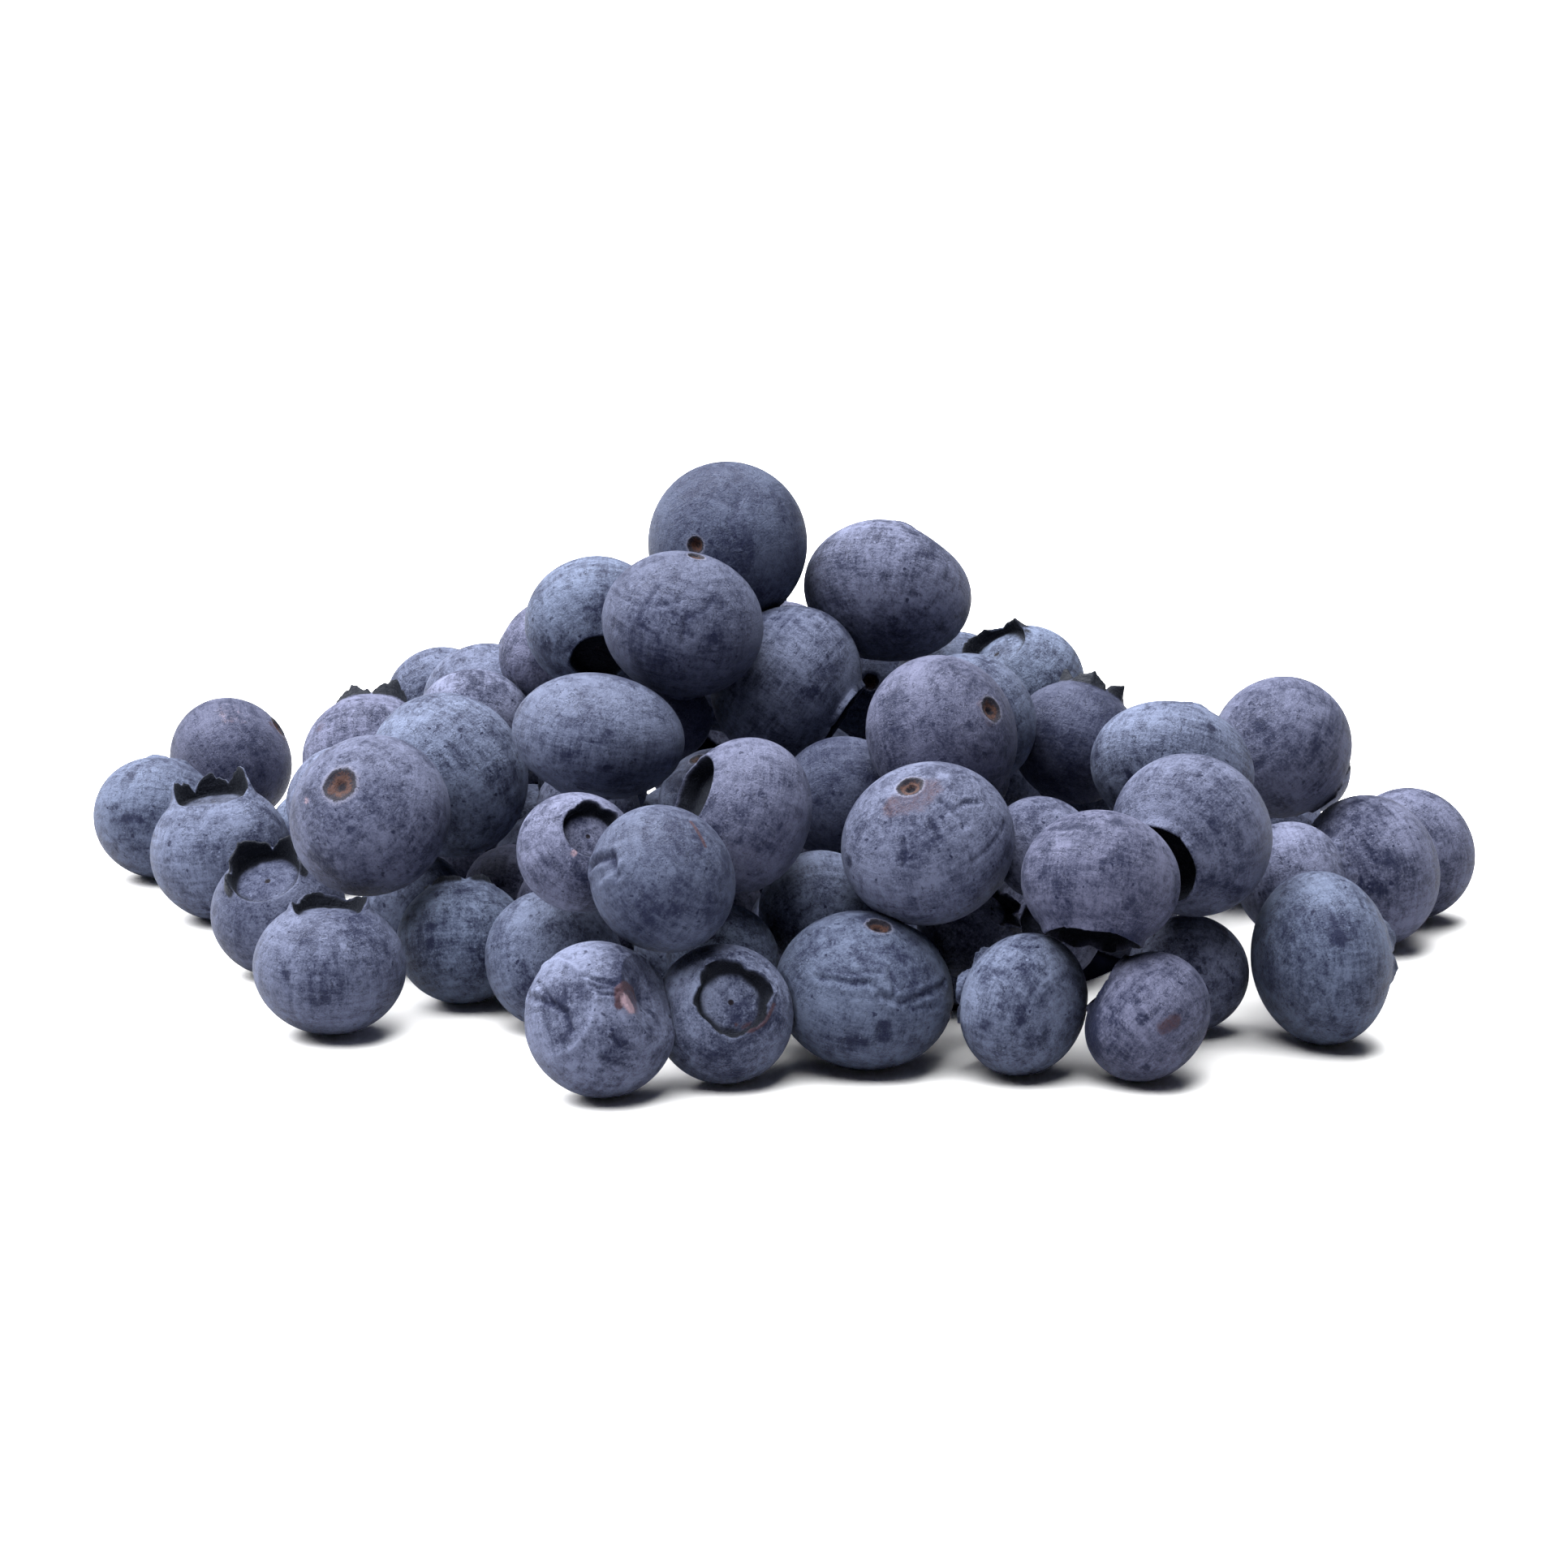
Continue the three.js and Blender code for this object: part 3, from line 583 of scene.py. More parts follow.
# The soft unevenness of a berry, as a share of its radius, and the pitches of its waves and the
# most that one is turned by.
USUAL_LUMPS = 0.012
LUMPY = {"front_1": 0.022, "middle_9": 0.016, "front_3": 0.014, "middle_4": 0.016, "top_2": 0.014}
LUMP_PITCHES = (1.7, 2.3, 3.1, 4.3, 6.1)
LUMP_TURN = 6.28

# How far two berries that press together stay apart, and the reach, in shares of their half
# widths, past which two can't meet.
CLEAR = 0.01
MEET_REACH = 1.1

# How much bloom a berry has, drawn from USUAL_TONE, and what is added for single berries,
# which is partly painted light and painted shade.
TONE_SEED = 5
USUAL_TONE = (0.84, 1.00)
# Painted light lightens front_2, front_6, middle_5, middle_6, right_3 and top_9, whose fronts face the
# light; painted shade darkens middle_10, top_1 and top_8, which lie in shade.
TONES_WITH_PAINTED_LIGHT = {
    "front_2": 0.15,
    "front_3": -0.15,
    "front_5": -0.12,
    "front_6": 0.20,
    "front_7": -0.20,
    "left_1": -0.10,
    "left_3": -0.42,
    "left_4": -0.20,
    "left_5": -0.10,
    "left_6": -0.12,
    "left_10": 0.20,
    "left_14": -0.16,
    "middle_4": -0.38,
    "middle_5": 0.25,
    "middle_6": 0.08,
    "middle_7": -0.34,
    "middle_8": -0.20,
    "middle_9": -0.20,
    "middle_10": -0.45,
    "middle_11": 0.05,
    "right_1": -0.36,
    "right_3": 0.22,
    "right_4": -0.54,
    "right_6": -0.20,
    "right_7": -0.18,
    "right_8": -0.18,
    "top_1": -0.46,
    "top_2": -0.30,
    "top_8": -0.58,
    "top_9": 0.20,
}

# Colours of the skin, the scar and the crown; the crown's black also paints the shade down the
# wall and over the floor of its pit.
BLUE_BLOOM = (0.154, 0.190, 0.286, 1)
VIOLET_BLOOM = (0.170, 0.176, 0.272, 1)
SKIN = (0.009, 0.011, 0.034, 1)
SCAR_BROWN = (0.062, 0.027, 0.016, 1)
SCAR_DARK = (0.006, 0.003, 0.004, 1)
SCAR_LIP = (0.22, 0.22, 0.30, 1)
RUST = (0.050, 0.024, 0.030, 1)
BLUSH = (0.33, 0.23, 0.27, 1)
CROWN_BLACK_AND_PIT_SHADE = (0.0008, 0.0008, 0.002, 1)
# The values of cover between which the roughness changes, and its least and most.
ROUGHNESS = (0.1, 0.9, 0.42, 0.66)
SHEEN_TINT = (0.70, 0.80, 1.0, 1)
GLOSS_TINT = (0.6, 0.7, 1.0, 1)

# How far apart the seeds of two skins can be.
SKIN_SEEDS = 100

# The share of bloom on the skin, and the layers of noise that vary it: scale, shift of the
# seed, detail, roughness, stretch, how far each changes the bloom and how far it stands out.
BLOOM_COVER = 0.52
ACROSS_AXIS = (1.5, 1.5, 0.2)
ALONG_AXIS = (0.3, 0.3, 2.2)
LAYERS = {
    "patches": (0.22, 0.0, 3.0, 0.6, None, 1.5, 0.0),
    "mottle": (0.9, 7.0, 5.0, 0.72, None, 1.2, 0.8),
    "streaks": (1.0, 19.0, 5.0, 0.72, ACROSS_AXIS, 1.0, 0.4),
    "grain": (5.0, 13.0, 4.0, 0.75, None, 1.3, 0.5),
    "rings": (1.0, 23.0, 4.0, 0.65, ALONG_AXIS, 1.0, 0.4),
}

# Thin veins where a noise crosses its middle, and spots where one is high: scale, shift, detail,
# roughness, the values between which they fade, and how far each changes the bloom.
VEINS = {
    "dark": (0.55, 31.0, 4.0, 0.65, 0.012, -0.4),
    "pale": (0.75, 41.0, 4.0, 0.7, 0.010, 0.3),
}
DARK_VEINS_IN = (0.46, 0.58)
PALE_VEINS_IN = (0.48, 0.60)
VEIN_RELIEF = -0.3
SPOTS = {
    "rubbed": (0.38, 47.0, 5.0, 0.7, 0.56, 0.66, -0.25),
    "dark": (1.5, 57.0, 1.0, 0.4, 0.70, 0.76, -0.5),
    "pale": (3.1, 83.0, 0.0, 0.4, 0.79, 0.84, 0.55),
}
SPOT_AND_SHADE_GAIN = -0.75
PALE_GAIN = 0.6
GRAIN_RAGGED = 0.8
STAIN_START = 0.08

# What is painted over the bloom, in order: the share that it follows, the values of that share
# between which it sets in, its strength, how ragged its edge is, and its colour.
PAINTS = [
    ("rust", 0.1, 1.0, 1.0, 1.6, RUST),
    ("blush", 0.2, 1.1, 0.85, 1.6, BLUSH),
    ("scar", 0.12, 0.30, 0.5, 0.35, SCAR_LIP),
    ("scar", 0.24, 0.36, 0.95, 0.35, SCAR_DARK),
    ("scar", 0.46, 0.62, 1.0, 0.8, SCAR_BROWN),
    ("scar", 0.70, 0.88, 1.0, 0.8, SCAR_DARK),
    ("lobe", 0.15, 0.55, 1.0, 0.6, CROWN_BLACK_AND_PIT_SHADE),
    # The crown's black inside, with painted shade down its wall and over its pit floor.
    ("wall", 0.0, 0.9, 1.0, 0.3, CROWN_BLACK_AND_PIT_SHADE),
    ("pit_floor", 0.89, 0.93, 1.0, 0.0, SCAR_DARK),
]

# The core: its mesh, its dimples, and its two near-black colours of painted shade, with the noise
# between them.
CORE_MOTTLE = (90.0, 1.0, 4.0, 0.6)
CORE_COLUMNS = 96
CORE_RINGS = 36
CORE_TOP = 0.02
DIMPLE = {"deep": 0.06, "pitch": 0.9}
CORE_SHADE_COLOURS = ((0.002, 0.002, 0.006, 1), (0.010, 0.012, 0.026, 1))

# The table, in metres: half its side, how far it lies below the berries, and its colour by the
# light that it throws back and as it is seen.
TABLE_HALF = 4.0
TABLE_LOW = -0.0001
TABLE_BOUNCE = (0.44, 0.44, 0.46, 1)
TABLE_SEEN = (1.0, 1.0, 1.0, 1)

# One wide lamp above, in metres and watts, in a dim white room.
LAMP_PLACE = (-0.28, 0.12, 0.9)
LAMP_SIZE = (1.6, 1.5)
LAMP_WATTS = 71
ROOM_LIGHT = 0.025
NEAREST_SEEN = 0.01


def smooth(low, high, value):
    """A smooth rise from 0 at low to 1 at high."""
    share = np.clip((value - low) / (high - low), 0, 1)
    return share * share * (3 - 2 * share)


def waves(angles, pitches, random):
    """A sum of sines of random phase, weaker as they get finer."""
    return sum(np.sin(p * angles + random.uniform(0, 2 * math.pi)) / p**0.5 for p in pitches)


def lobe_shape(turn, random):
    """How far each column reaches up a lobe of the crown, 0 between two lobes to 1 at a tip."""
    wander_from = random.uniform(0, 1)
    wander = LOBE_WANDER * waves(turn, WANDER_WAVES, random)
    share = LOBES * (turn / (2 * math.pi) + wander_from) + wander
    number = np.floor(share).astype(int) % LOBES
    tip = 1 - abs(2 * (share % 1) - 1)
    height = random.uniform(*LOBE_HEIGHTS, LOBES)[number]
    ragged = LOBE_RAGGED * waves(turn, RAGGED_WAVES, random)
    return np.clip(tip**LOBE_POINT * height + ragged, 0, LOBE_MOST)


def turns_round(berry, columns, sides):
    """The angles of a berry's columns, closer together on the viewer's side if it shows."""
    even = np.arange(columns) * 2 * math.pi / columns
    if berry.end is None:
        return even
    viewer = math.atan2(sides[1] @ -AHEAD, sides[0] @ -AHEAD)
    return viewer + even - CROWDING * np.sin(even)


def berry_rings(berry, fine, sides, random):
    """Rings of points about +Z, from the stem scar to the floor of the crown. Each row holds
    the distances across and along, and the shares of scar, wall, floor and lobe; the wall share
    holds the crown's own dark inside together with painted shade in its pit."""
    turn = turns_round(berry, fine["columns"], sides)
    usual = TURNED_CROWN if berry.end in ("side", "stem") else USUAL_CROWN
    crown_form = CROWNS.get(berry.name, usual)
    rim, high = crown_form["rim"], crown_form["high"]
    wide, long = berry.half_wide, berry.half_long
    to_viewer = np.cos(turn) * (sides[0] @ -AHEAD) + np.sin(turn) * (sides[1] @ -AHEAD)
    lobe = lobe_shape(turn, random) * (1 - (1 - crown_form["near"]) * smooth(*NEAR_SIDE, to_viewer))
    scar = SCARS.get(berry.name, FAR_SCAR if berry.end is None else 0)
    rows = []

    def ball(across):
        return long * np.sqrt(1 - (across / wide) ** 2)

    def row(across, along, **shares):
        values = [across, along] + [shares.get(key, 0) for key in ("scar", "wall", "floor", "lobe")]
        rows.append([value * np.ones(len(turn)) for value in values])

    for share in np.linspace(POLE, STEM_ZONE, fine["stem"]):
        sunk, inside = 0.0, 0.0
        if scar:
            sunk = DISH_DEEP * (1 - smooth(scar * DISH_EDGE[0], scar * DISH_EDGE[1], share))
            sunk += PORE_DEEP * (1 - smooth(scar * PORE_EDGE[0], scar * PORE_EDGE[1], share))
            sunk -= LIP_HIGH * math.exp(-(((share - scar * LIP_AT) / LIP_WIDE) ** 2))
            inside = max(1 - share / scar / SCAR_REACH, 0)
        row(share * wide, sunk - ball(share * wide), scar=inside)
    south, north = -math.acos(STEM_ZONE), math.acos(rim + COLLAR)
    for latitude in np.linspace(south, north, fine["body"])[1:]:
        row(math.cos(latitude) * wide, math.sin(latitude) * long)
    rim_wide = (rim + crown_form["flare"] * lobe**FLARE_BEND) * wide
    black = crown_form["black"] * smooth(*BLACK_FROM, high * lobe)
    for share in np.linspace(0, 1, fine["collar"] + 1)[1:]:
        across = (rim + COLLAR) * wide * (1 - share) + rim_wide * share
        up = high * lobe * share**COLLAR_BEND
        row(across, ball(across) + up, lobe=min(COLLAR_BLACK * share, 1) * black)
    tip_high = ball(rim_wide) + high * lobe
    row(rim_wide - LIP_THICK / 2, tip_high + LIP_ROUND, wall=LIP_DARK, lobe=black)
    floor_wide = (rim - FLOOR_INSET) * wide - LIP_THICK
    floor_high = ball(rim * wide) - crown_form["deep"]
    for share in np.linspace(0, 1, fine["wall"]):
        across = (rim_wide - LIP_THICK) * (1 - share) + floor_wide * share
        # The wall darkens: its own black, with painted shade deeper down and under taller lobes.
        dark = np.maximum(smooth(*WALL_DARK_AND_SHADE, share), smooth(*INSIDE_DARK_AND_SHADE, high * lobe))
        row(across, tip_high * (1 - share) + floor_high * share, wall=dark)
    folds = FOLD_HIGH * waves(turn, FOLD_WAVES, random)
    edge = SHADE_EDGE_WANDER * waves(turn, SHADE_EDGE_WAVES, random)
    for share in np.linspace(1, FLOOR_MIDDLE, fine["floor"])[1:]:
        dome = DOME_HIGH * math.cos(share * math.pi / 2)
        dome -= DOT_DEEP * math.exp(-((share / DOT_WIDE) ** 2))
        # Painted shade over the pit floor, darkest towards its edge, carried in the wall share; the
        # crown's pale setting keeps part of the floor out of it.
        dark = 1 - crown_form["pale"] * (1 - smooth(*FLOOR_SHADE_EDGE, share * (1 + edge)))
        row(floor_wide * share, floor_high + dome + folds * share, floor=1 - share, wall=dark)
    return turn, np.array(rows)


def lumps(directions, amount, random):
    """Soft unevenness of a berry, as a share of its radius."""
    total = np.zeros(len(directions))
    for pitch in LUMP_PITCHES:
        way = random.normal(size=3)
        way /= np.linalg.norm(way)
        total += np.sin(pitch * directions @ way + random.uniform(0, LUMP_TURN)) / pitch
    return amount * total


def turned(axis, random):
    """Three directions: two square to the axis, at a drawn turn, and the axis itself."""
    start = random.normal(size=3)
    first = start - axis * (start @ axis)
    first /= np.linalg.norm(first)
    return np.array((first, np.cross(axis, first), axis))


def fineness(berry):
    """How finely a berry is meshed."""
    if berry.name in LUMPY:
        return WRINKLED
    if berry.name.startswith("inner"):
        return INNER
    return DETAIL[berry.end]


def ring_quads(rings, columns):
    """The faces that join closed rings of points, each to the next."""
    start = np.arange(rings - 1)[:, None] * columns + np.arange(columns)
    beside = np.arange(rings - 1)[:, None] * columns + (np.arange(columns) + 1) % columns
    return np.stack((start, beside, beside + columns, start + columns), -1).reshape(-1, 4)


def berry_mesh(berry, fine, random):
    """The points, faces and shares of one berry, in its place in the heap."""
    sides = turned(berry.axis, random)
    turn, rows = berry_rings(berry, fine, sides, random)
    across, along = rows[:, 0], rows[:, 1]
    rings, columns = across.shape
    local = np.stack((across * np.cos(turn), across * np.sin(turn), along), -1).reshape(-1, 3)
    first_pole = local[:columns].mean(0)
    last_pole = local[-columns:].mean(0)
    local = np.vstack((local, first_pole, last_pole))
    shares = rows[:, 2:].transpose(0, 2, 1).reshape(-1, 4)
    shares = np.vstack((shares, shares[0], shares[-1]))
    away = local / np.linalg.norm(local, axis=1)[:, None]
    local = local * (1 + lumps(away, LUMPY.get(berry.name, USUAL_LUMPS), random))[:, None]
    points = local @ sides + berry.place
    shares = np.hstack((shares, mark_skin(berry, points)))

    edge = np.arange(columns)
    next_edge = (edge + 1) % columns
    first, last = rings * columns, rings * columns + 1
    bottom = np.stack((next_edge, edge, np.full(columns, first)), -1)
    top_ring = (rings - 1) * columns
    top = np.stack((top_ring + edge, top_ring + next_edge, np.full(columns, last)), -1)
    return {
        "points": points,
        "local": local,
        "quads": ring_quads(rings, columns),
        "triangles": np.vstack((bottom, top)),
        "shares": shares,
    }


def on_skin(berry, across, down):
    """The direction from the middle of a berry to the skin that shows at a place."""
    ray = sight(across, down)
    ray = ray / np.linalg.norm(ray)
    middle = berry.place - EYE
    near = float(middle @ ray)
    aside = np.linalg.norm(middle - near * ray)
    radius = max(berry.round, aside)
    point = ray * (near - math.sqrt(radius**2 - aside**2)) - middle
    return point / np.linalg.norm(point)


def distance_to_line(points, line):
    """How far each point lies from a line through several places, or from a single place."""
    best = np.linalg.norm(points - line[0], axis=1)
    for start, end in zip(line[:-1], line[1:]):
        share = np.clip((points - start) @ (end - start) / ((end - start) @ (end - start)), 0, 1)
        best = np.minimum(best, np.linalg.norm(points - start - share[:, None] * (end - start), axis=1))
    return best


def mark_skin(berry, points):
    """Presses this berry's flats, dents, ridges and creases into its points, and gives the share
    of each stain at every point, with painted shade in the hollows of creases and the painted
    shade and highlight that some marks draw as stains."""
    shares = np.zeros((len(points), len(MARK_SHARES)))
    for name, kind, width, strength, places in MARKS:
        if name != berry.name:
            continue
        step = in_picture(berry.place)[2]
        away = points - berry.place
        away /= np.linalg.norm(away, axis=1)[:, None]
        line = np.array([on_skin(berry, *place) for place in places]) * berry.round
        apart = distance_to_line(away * berry.round, line) / (width / step)
        fade = np.exp(-(apart**2))
        if kind == "flat":
            over = (away * line[0]).sum(axis=1) - berry.round + strength
            points -= np.maximum(over, 0)[:, None] * line[0] / berry.round
        elif kind == "dent":
            points -= away * (strength * fade)[:, None]
        elif kind == "ridge":
            points += away * (strength * fade)[:, None]
            pale = MARK_SHARES.index("pale")
            shares[:, pale] = np.maximum(shares[:, pale], RIDGE_PALE * fade)
        elif kind == "crease":
            lip = CREASE_LIP * np.exp(-((apart - CREASE_LIP_AT) ** 2))
            points -= away * (strength * (fade - lip))[:, None]
            # Painted shade in the hollow of the crease.
            spot = MARK_SHARES.index("spot")
            shares[:, spot] = np.maximum(shares[:, spot], CREASE_SHADE * fade)
        else:
            # Stains fade out at their edge, and so do front_5's painted shade and middle_9's painted
            # highlight, which are drawn as stains.
            column = MARK_SHARES.index(kind)
            edge = strength * (1 - smooth(*MARK_EDGE, apart))
            shares[:, column] = np.maximum(shares[:, column], edge)
    return shares


def press_together(meshes, berries):
    """Flattens berries where they press into each other or into the table."""
    for berry, mesh in zip(berries, meshes):
        points = mesh["points"]
        for other in berries:
            apart = other.place - berry.place
            far = float(np.linalg.norm(apart))
            if other is berry or far > MEET_REACH * (berry.half_wide + other.half_wide):
                continue
            way = apart / far
            mine, its = berry.radius_towards(way), other.radius_towards(way)
            limit = far * mine / (mine + its) - CLEAR
            over = points @ way - berry.place @ way - limit
            points -= np.maximum(over, 0)[:, None] * way
        np.maximum(points[:, 2], 0, out=points[:, 2])


def linked(name, data):
    """A new object of the scene that holds this mesh, camera or lamp."""
    made = bpy.data.objects.new(name, data)
    bpy.context.scene.collection.objects.link(made)
    return made


def make_piece(name, berries, meshes, shift):
    """One mesh object of several berries, with the shares that the material reads."""
    counts = np.cumsum([0] + [len(mesh["points"]) for mesh in meshes])
    points = np.vstack([mesh["points"] for mesh in meshes]) + shift
    quads = np.vstack([mesh["quads"] + start for mesh, start in zip(meshes, counts)])
    triangles = np.vstack([mesh["triangles"] + start for mesh, start in zip(meshes, counts)])
    data = bpy.data.meshes.new(name)
    data.vertices.add(len(points))
    data.vertices.foreach_set("co", (points * MM).ravel())
    data.loops.add(quads.size + triangles.size)
    data.loops.foreach_set("vertex_index", np.concatenate((quads.ravel(), triangles.ravel())))
    data.polygons.add(len(quads) + len(triangles))
    starts = np.concatenate((np.arange(len(quads)) * 4, quads.size + np.arange(len(triangles)) * 3))
    data.polygons.foreach_set("loop_start", starts)
    data.update(calc_edges=True)
    data.validate()
    data.shade_smooth()
    local = np.vstack([mesh["local"] for mesh in meshes])
    add_attribute(data, "berry_local", "FLOAT_VECTOR", "vector", local)
    shares = np.vstack([mesh["shares"] for mesh in meshes])
    for i, label in enumerate(SHARES):
        add_attribute(data, label, "FLOAT", "value", shares[:, i])
    lengths = [len(mesh["points"]) for mesh in meshes]
    for label in ("seed", "tone", "violet"):
        own = np.repeat([getattr(berry, label) for berry in berries], lengths)
        add_attribute(data, label, "FLOAT", "value", own)
    return linked(name, data)


def add_attribute(data, name, kind, field, values):
    """Stores one value for each point of a mesh."""
    attribute = data.attributes.new(name, kind, "POINT")
    attribute.data.foreach_set(field, np.asarray(values, np.float32).ravel())


class Shader:
    """A material of one Principled shader, and short names for the nodes that feed it."""

    def __init__(self, name):
        self.material = bpy.data.materials.new(name)
        self.material.use_nodes = True
        self.tree = self.material.node_tree
        self.surface = self.tree.nodes["Principled BSDF"]

    def node(self, kind, inputs, **settings):
        made = self.tree.nodes.new(kind)
        for key, value in settings.items():
            setattr(made, key, value)
        for key, value in inputs.items():
            self.feed(made.inputs[key], value)
        return made

    def feed(self, socket, value):
        if isinstance(value, bpy.types.NodeSocket):
            self.tree.links.new(value, socket)
        else:
            socket.default_value = value

    def set(self, **values):
        for key, value in values.items():
            self.feed(self.surface.inputs[key.replace("_", " ")], value)

    def attribute(self, name, output="Fac"):
        return self.node("ShaderNodeAttribute", {}, attribute_name=name).outputs[output]

    def math(self, operation, a, b=0.0, c=0.0):
        made = self.node("ShaderNodeMath", {0: a, 1: b, 2: c}, operation=operation)
        return made.outputs[0]

    def vector(self, operation, a, b):
        made = self.node("ShaderNodeVectorMath", {0: a, 1: b}, operation=operation)
        return made.outputs[0]

    def noise(self, place, scale, w, detail=3.0, roughness=0.55):
        inputs = {"Vector": place, "W": w, "Scale": scale, "Detail": detail, "Roughness": roughness}
        made = self.node("ShaderNodeTexNoise", inputs, noise_dimensions="4D")
        return made.outputs[0]

    def rise(self, value, low, high, low_out=0.0, high_out=1.0):
        inputs = {0: value, 1: low, 2: high, 3: low_out, 4: high_out}
        made = self.node("ShaderNodeMapRange", inputs, interpolation_type="SMOOTHSTEP")
        return made.outputs[0]

    def mix(self, share, a, b):
        made = self.node("ShaderNodeMix", {0: share, 6: a, 7: b}, data_type="RGBA")
        return made.outputs[2]


def berry_skin():
    """Dusty bloom over blue-black skin, rubbed in patches and streaks, with scar and crown,
    painted shade in creases and in the crown's pit, and painted light and shade in some berries' tone.
    """
    shader = Shader("berry_skin")
    local = shader.attribute("berry_local", "Vector")
    seed = shader.attribute("seed")

    def layer(scale, shift, detail, roughness, stretch=None):
        place = shader.vector("MULTIPLY", local, stretch) if stretch else local
        return shader.noise(place, scale, shader.math("ADD", seed, shift), detail, roughness)

    def add(total, value, gain, middle=0.0):
        centred = shader.math("SUBTRACT", value, middle) if middle else value
        return shader.math("MULTIPLY_ADD", centred, gain, total)

    def veins(label, among, found_in):
        *look, width, gain = VEINS[label]
        off_middle = shader.math("ABSOLUTE", shader.math("SUBTRACT", layer(*look), 0.5))
        thin = shader.rise(off_middle, 0.0, width, 1, 0)
        return shader.math("MULTIPLY", thin, shader.rise(among, *found_in)), gain

    noises = {label: layer(*row[:5]) for label, row in LAYERS.items()}
    dark_vein, dark_gain = veins("dark", noises["mottle"], DARK_VEINS_IN)
    pale_vein, pale_gain = veins("pale", noises["streaks"], PALE_VEINS_IN)
    cover = BLOOM_COVER
    for label, row in LAYERS.items():
        cover = add(cover, noises[label], row[5], 0.5)
    cover = add(cover, dark_vein, dark_gain)
    cover = add(cover, pale_vein, pale_gain)
    for *look, low, high, gain in SPOTS.values():
        cover = add(cover, shader.rise(layer(*look), low, high), gain)
    # Dark spots take bloom away, and so do the painted shade in creases and on front_5's shaded side.
    cover = add(cover, shader.attribute("spot"), SPOT_AND_SHADE_GAIN)
    # Pale marks and ridges add bloom; the pale mark on middle_9 is a painted highlight.
    cover = add(cover, shader.attribute("pale"), PALE_GAIN)
    # Each berry's tone scales its bloom: its own tone, with painted light on some berries and painted
    # shade on others.
    cover = shader.math("MULTIPLY", shader.rise(cover, 0.0, 1.0), shader.attribute("tone"))
    bloom = shader.mix(shader.attribute("violet"), BLUE_BLOOM, VIOLET_BLOOM)
    colour = shader.mix(cover, SKIN, bloom)

    ragged = shader.math("SUBTRACT", noises["mottle"], 0.5)
    ragged = add(ragged, noises["grain"], GRAIN_RAGGED, 0.5)
    for label, low, high, most, gain, paint in PAINTS:
        share = shader.attribute(label)
        rough_share = shader.math("MULTIPLY_ADD", ragged, gain, share)
        there = shader.rise(share, 0.0, STAIN_START)
        weight = shader.math("MULTIPLY", shader.rise(rough_share, low, high, 0.0, most), there)
        colour = shader.mix(weight, colour, paint)

    relief = 0.0
    for label, row in LAYERS.items():
        relief = add(relief, noises[label], row[6])
    relief = add(relief, dark_vein, VEIN_RELIEF)
    bump = shader.node("ShaderNodeBump", {"Height": relief, "Strength": 0.8, "Distance": 0.0004})
    shader.set(Base_Color=colour, Roughness=shader.rise(cover, *ROUGHNESS))
    shader.set(Normal=bump.outputs[0], Sheen_Weight=0.06, Sheen_Roughness=0.4, Sheen_Tint=SHEEN_TINT)
    shader.set(Specular_IOR_Level=0.22, Specular_Tint=GLOSS_TINT)
    return shader.material


def core_painted_shade():
    """Painted shade for the inside of the heap: near black, as the deep shade shows between the
    berries.
    """
    shader = Shader("heap_painted_shade")
    place = shader.node("ShaderNodeTexCoord", {}).outputs["Object"]
    mottle = shader.noise(place, *CORE_MOTTLE)
    colour = shader.mix(mottle, *CORE_SHADE_COLOURS)
    bump = shader.node("ShaderNodeBump", {"Height": mottle, "Strength": 0.6, "Distance": 0.001})
    shader.set(Base_Color=colour, Roughness=0.9, Normal=bump.outputs[0], Specular_IOR_Level=0.0)
    return shader.material


def core_piece(shift):
    """A low mound under the berries, softly dimpled, that shows between them as painted shade."""
    columns, rings = CORE_COLUMNS, CORE_RINGS
    turn = np.arange(columns) * 2 * math.pi / columns
    pitch = DIMPLE["pitch"]
    points = []
    wide = CORE_SHOWN["wide"]
    for share in np.linspace(1, CORE_TOP, rings):
        x = CORE["half_wide"] * share * np.cos(turn)
        y = CORE["half_deep"] * share * np.sin(turn)
        dimple = 1 - DIMPLE["deep"] * np.sin(pitch * x) * np.sin(pitch * y)
        high = core_height(CORE["x"] + x, CORE["y"] + y) * dimple * CORE_SHOWN["high"]
        points.append(np.stack((CORE["x"] + x * wide, CORE["y"] + y * wide, high), -1))
    top = (CORE["x"], CORE["y"], CORE["high"] * CORE_SHOWN["high"])
    points = np.vstack(points + [np.array([top])])
    faces = ring_quads(rings, columns).tolist()
    top_ring = (rings - 1) * columns
    last = rings * columns
    faces += [(top_ring + i, top_ring + (i + 1) % columns, last) for i in range(columns)]
    faces.append(tuple(reversed(range(columns))))
    data = bpy.data.meshes.new("heap_core")
    data.from_pydata(((points + shift) * MM).tolist(), [], faces)
    data.shade_smooth()
    return linked("heap_core", data)


def heap_shift(berries):
    """What moves the laid-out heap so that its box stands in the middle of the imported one."""
    low = np.min([[b.place[i] - b.reach(np.eye(3)[i]) for i in range(2)] for b in berries], 0)
    high = np.max([[b.place[i] + b.reach(np.eye(3)[i]) for i in range(2)] for b in berries], 0)
    middle = (np.array(cad_box[0]) + np.array(cad_box[1]))[:2] / 2 / MM
    return np.array((*(middle - (low + high) / 2), 0.0))


def add_camera(shift):
    """The camera at EYE, moved with the heap."""
    data = bpy.data.cameras.new("camera")
    data.sensor_width = SENSOR
    data.lens = FOCAL / PICTURE * SENSOR
    data.clip_start = NEAREST_SEEN
    camera = linked("camera", data)
    camera.location = (EYE + shift) * MM
    camera.rotation_euler = (math.pi / 2 - PITCH, 0, 0)
    bpy.context.scene.camera = camera


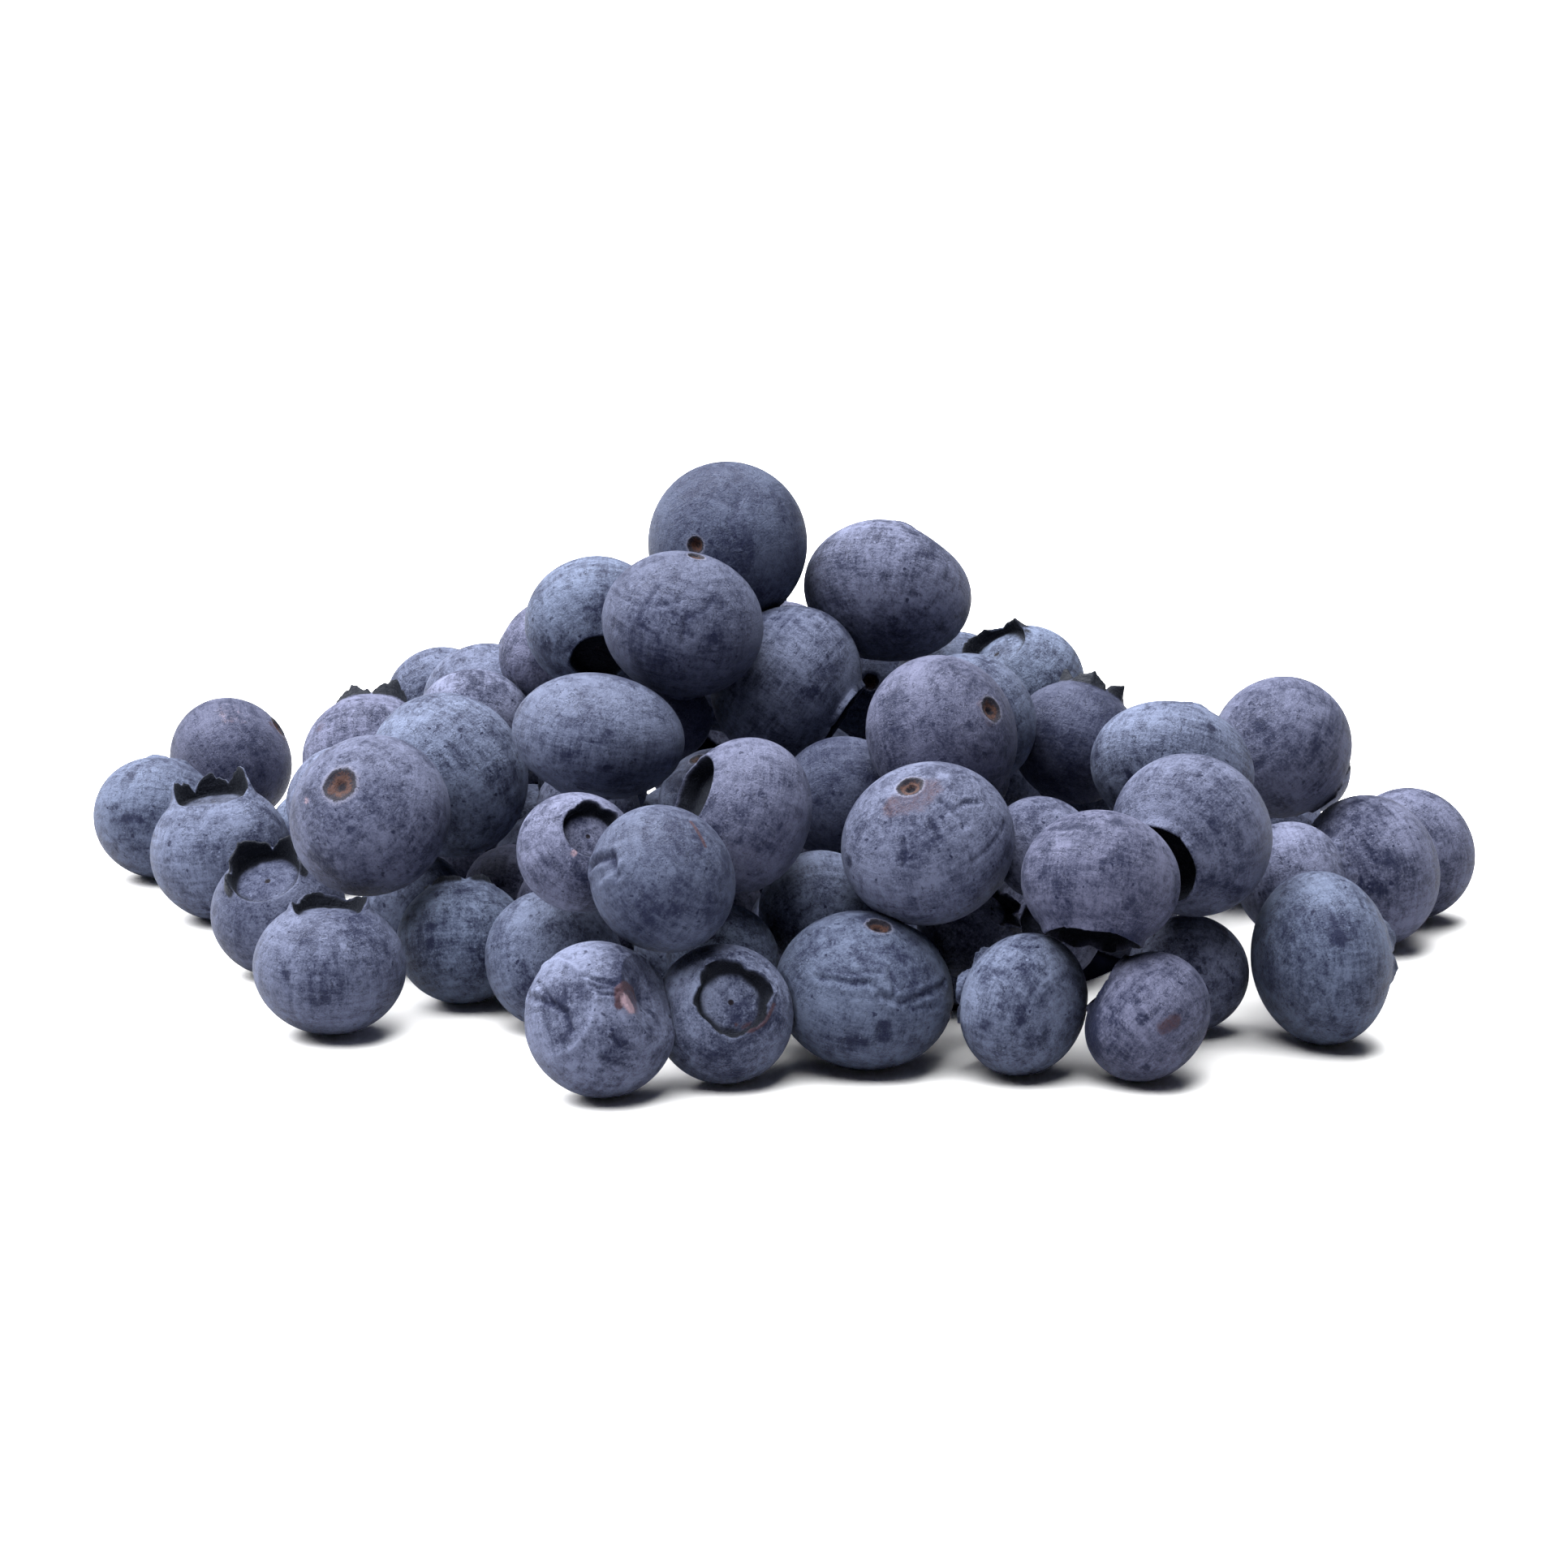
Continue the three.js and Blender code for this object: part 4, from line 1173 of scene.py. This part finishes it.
def add_floor():
    """The table: white as it is seen, and a little darker for the light that it throws back."""
    data = bpy.data.meshes.new("table")
    signs = ((-1, -1), (1, -1), (1, 1), (-1, 1))
    corners = [(x * TABLE_HALF, y * TABLE_HALF, TABLE_LOW) for x, y in signs]
    data.from_pydata(corners, [], [(0, 1, 2, 3)])
    shader = Shader("table_white")
    seen = shader.node("ShaderNodeLightPath", {}).outputs["Is Camera Ray"]
    colour = shader.mix(seen, TABLE_BOUNCE, TABLE_SEEN)
    shader.set(Base_Color=colour, Roughness=0.9, Specular_IOR_Level=0.0)
    data.materials.append(shader.material)
    linked("table", data)


def add_light():
    """The lamp, aimed at the heap, and the dim room."""
    data = bpy.data.lights.new("soft_above", "AREA")
    data.shape = "RECTANGLE"
    data.size, data.size_y = LAMP_SIZE
    data.energy = LAMP_WATTS
    lamp = linked("soft_above", data)
    lamp.location = LAMP_PLACE
    lamp.rotation_mode = "QUATERNION"
    lamp.rotation_quaternion = (-Vector(LAMP_PLACE)).to_track_quat("-Z", "Y")
    world = bpy.data.worlds.new("white_room")
    bpy.context.scene.world = world
    world.use_nodes = True
    background = world.node_tree.nodes["Background"]
    background.inputs["Color"].default_value = (1, 1, 1, 1)
    background.inputs["Strength"].default_value = ROOM_LIGHT
    bpy.context.scene.view_settings.view_transform = "Standard"


berries = lay_seen()
lay_hidden(berries)
shift = heap_shift(berries)
lay_inner(berries)
draws = np.random.default_rng(TONE_SEED)
meshes = []
for berry in berries:
    berry.seed = draws.uniform(0, SKIN_SEEDS)
    berry.tone = draws.uniform(*USUAL_TONE) + TONES_WITH_PAINTED_LIGHT.get(berry.name, 0)
    berry.violet = draws.uniform(0, 1)
    meshes.append(berry_mesh(berry, fineness(berry), np.random.default_rng(len(meshes))))
press_together(meshes, berries)

skin = berry_skin()
pieces = []
for end, lots in LOTS.items():
    kind = [i for i, berry in enumerate(berries) if berry.end == end]
    for lot in range(lots):
        chosen = kind[lot::lots]
        name = f"berries_{LOT_NAMES[end]}_{lot + 1}"
        piece = make_piece(name, [berries[i] for i in chosen], [meshes[i] for i in chosen], shift)
        piece.data.materials.append(skin)
        pieces.append(piece)
core = core_piece(shift)
# The core is painted near black, as the shade deep inside the heap.
core.data.materials.append(core_painted_shade())
pieces.append(core)
for piece in pieces:
    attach(piece, "root")
    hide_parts("blueberry_heap")

add_camera(shift)
add_floor()
add_light()
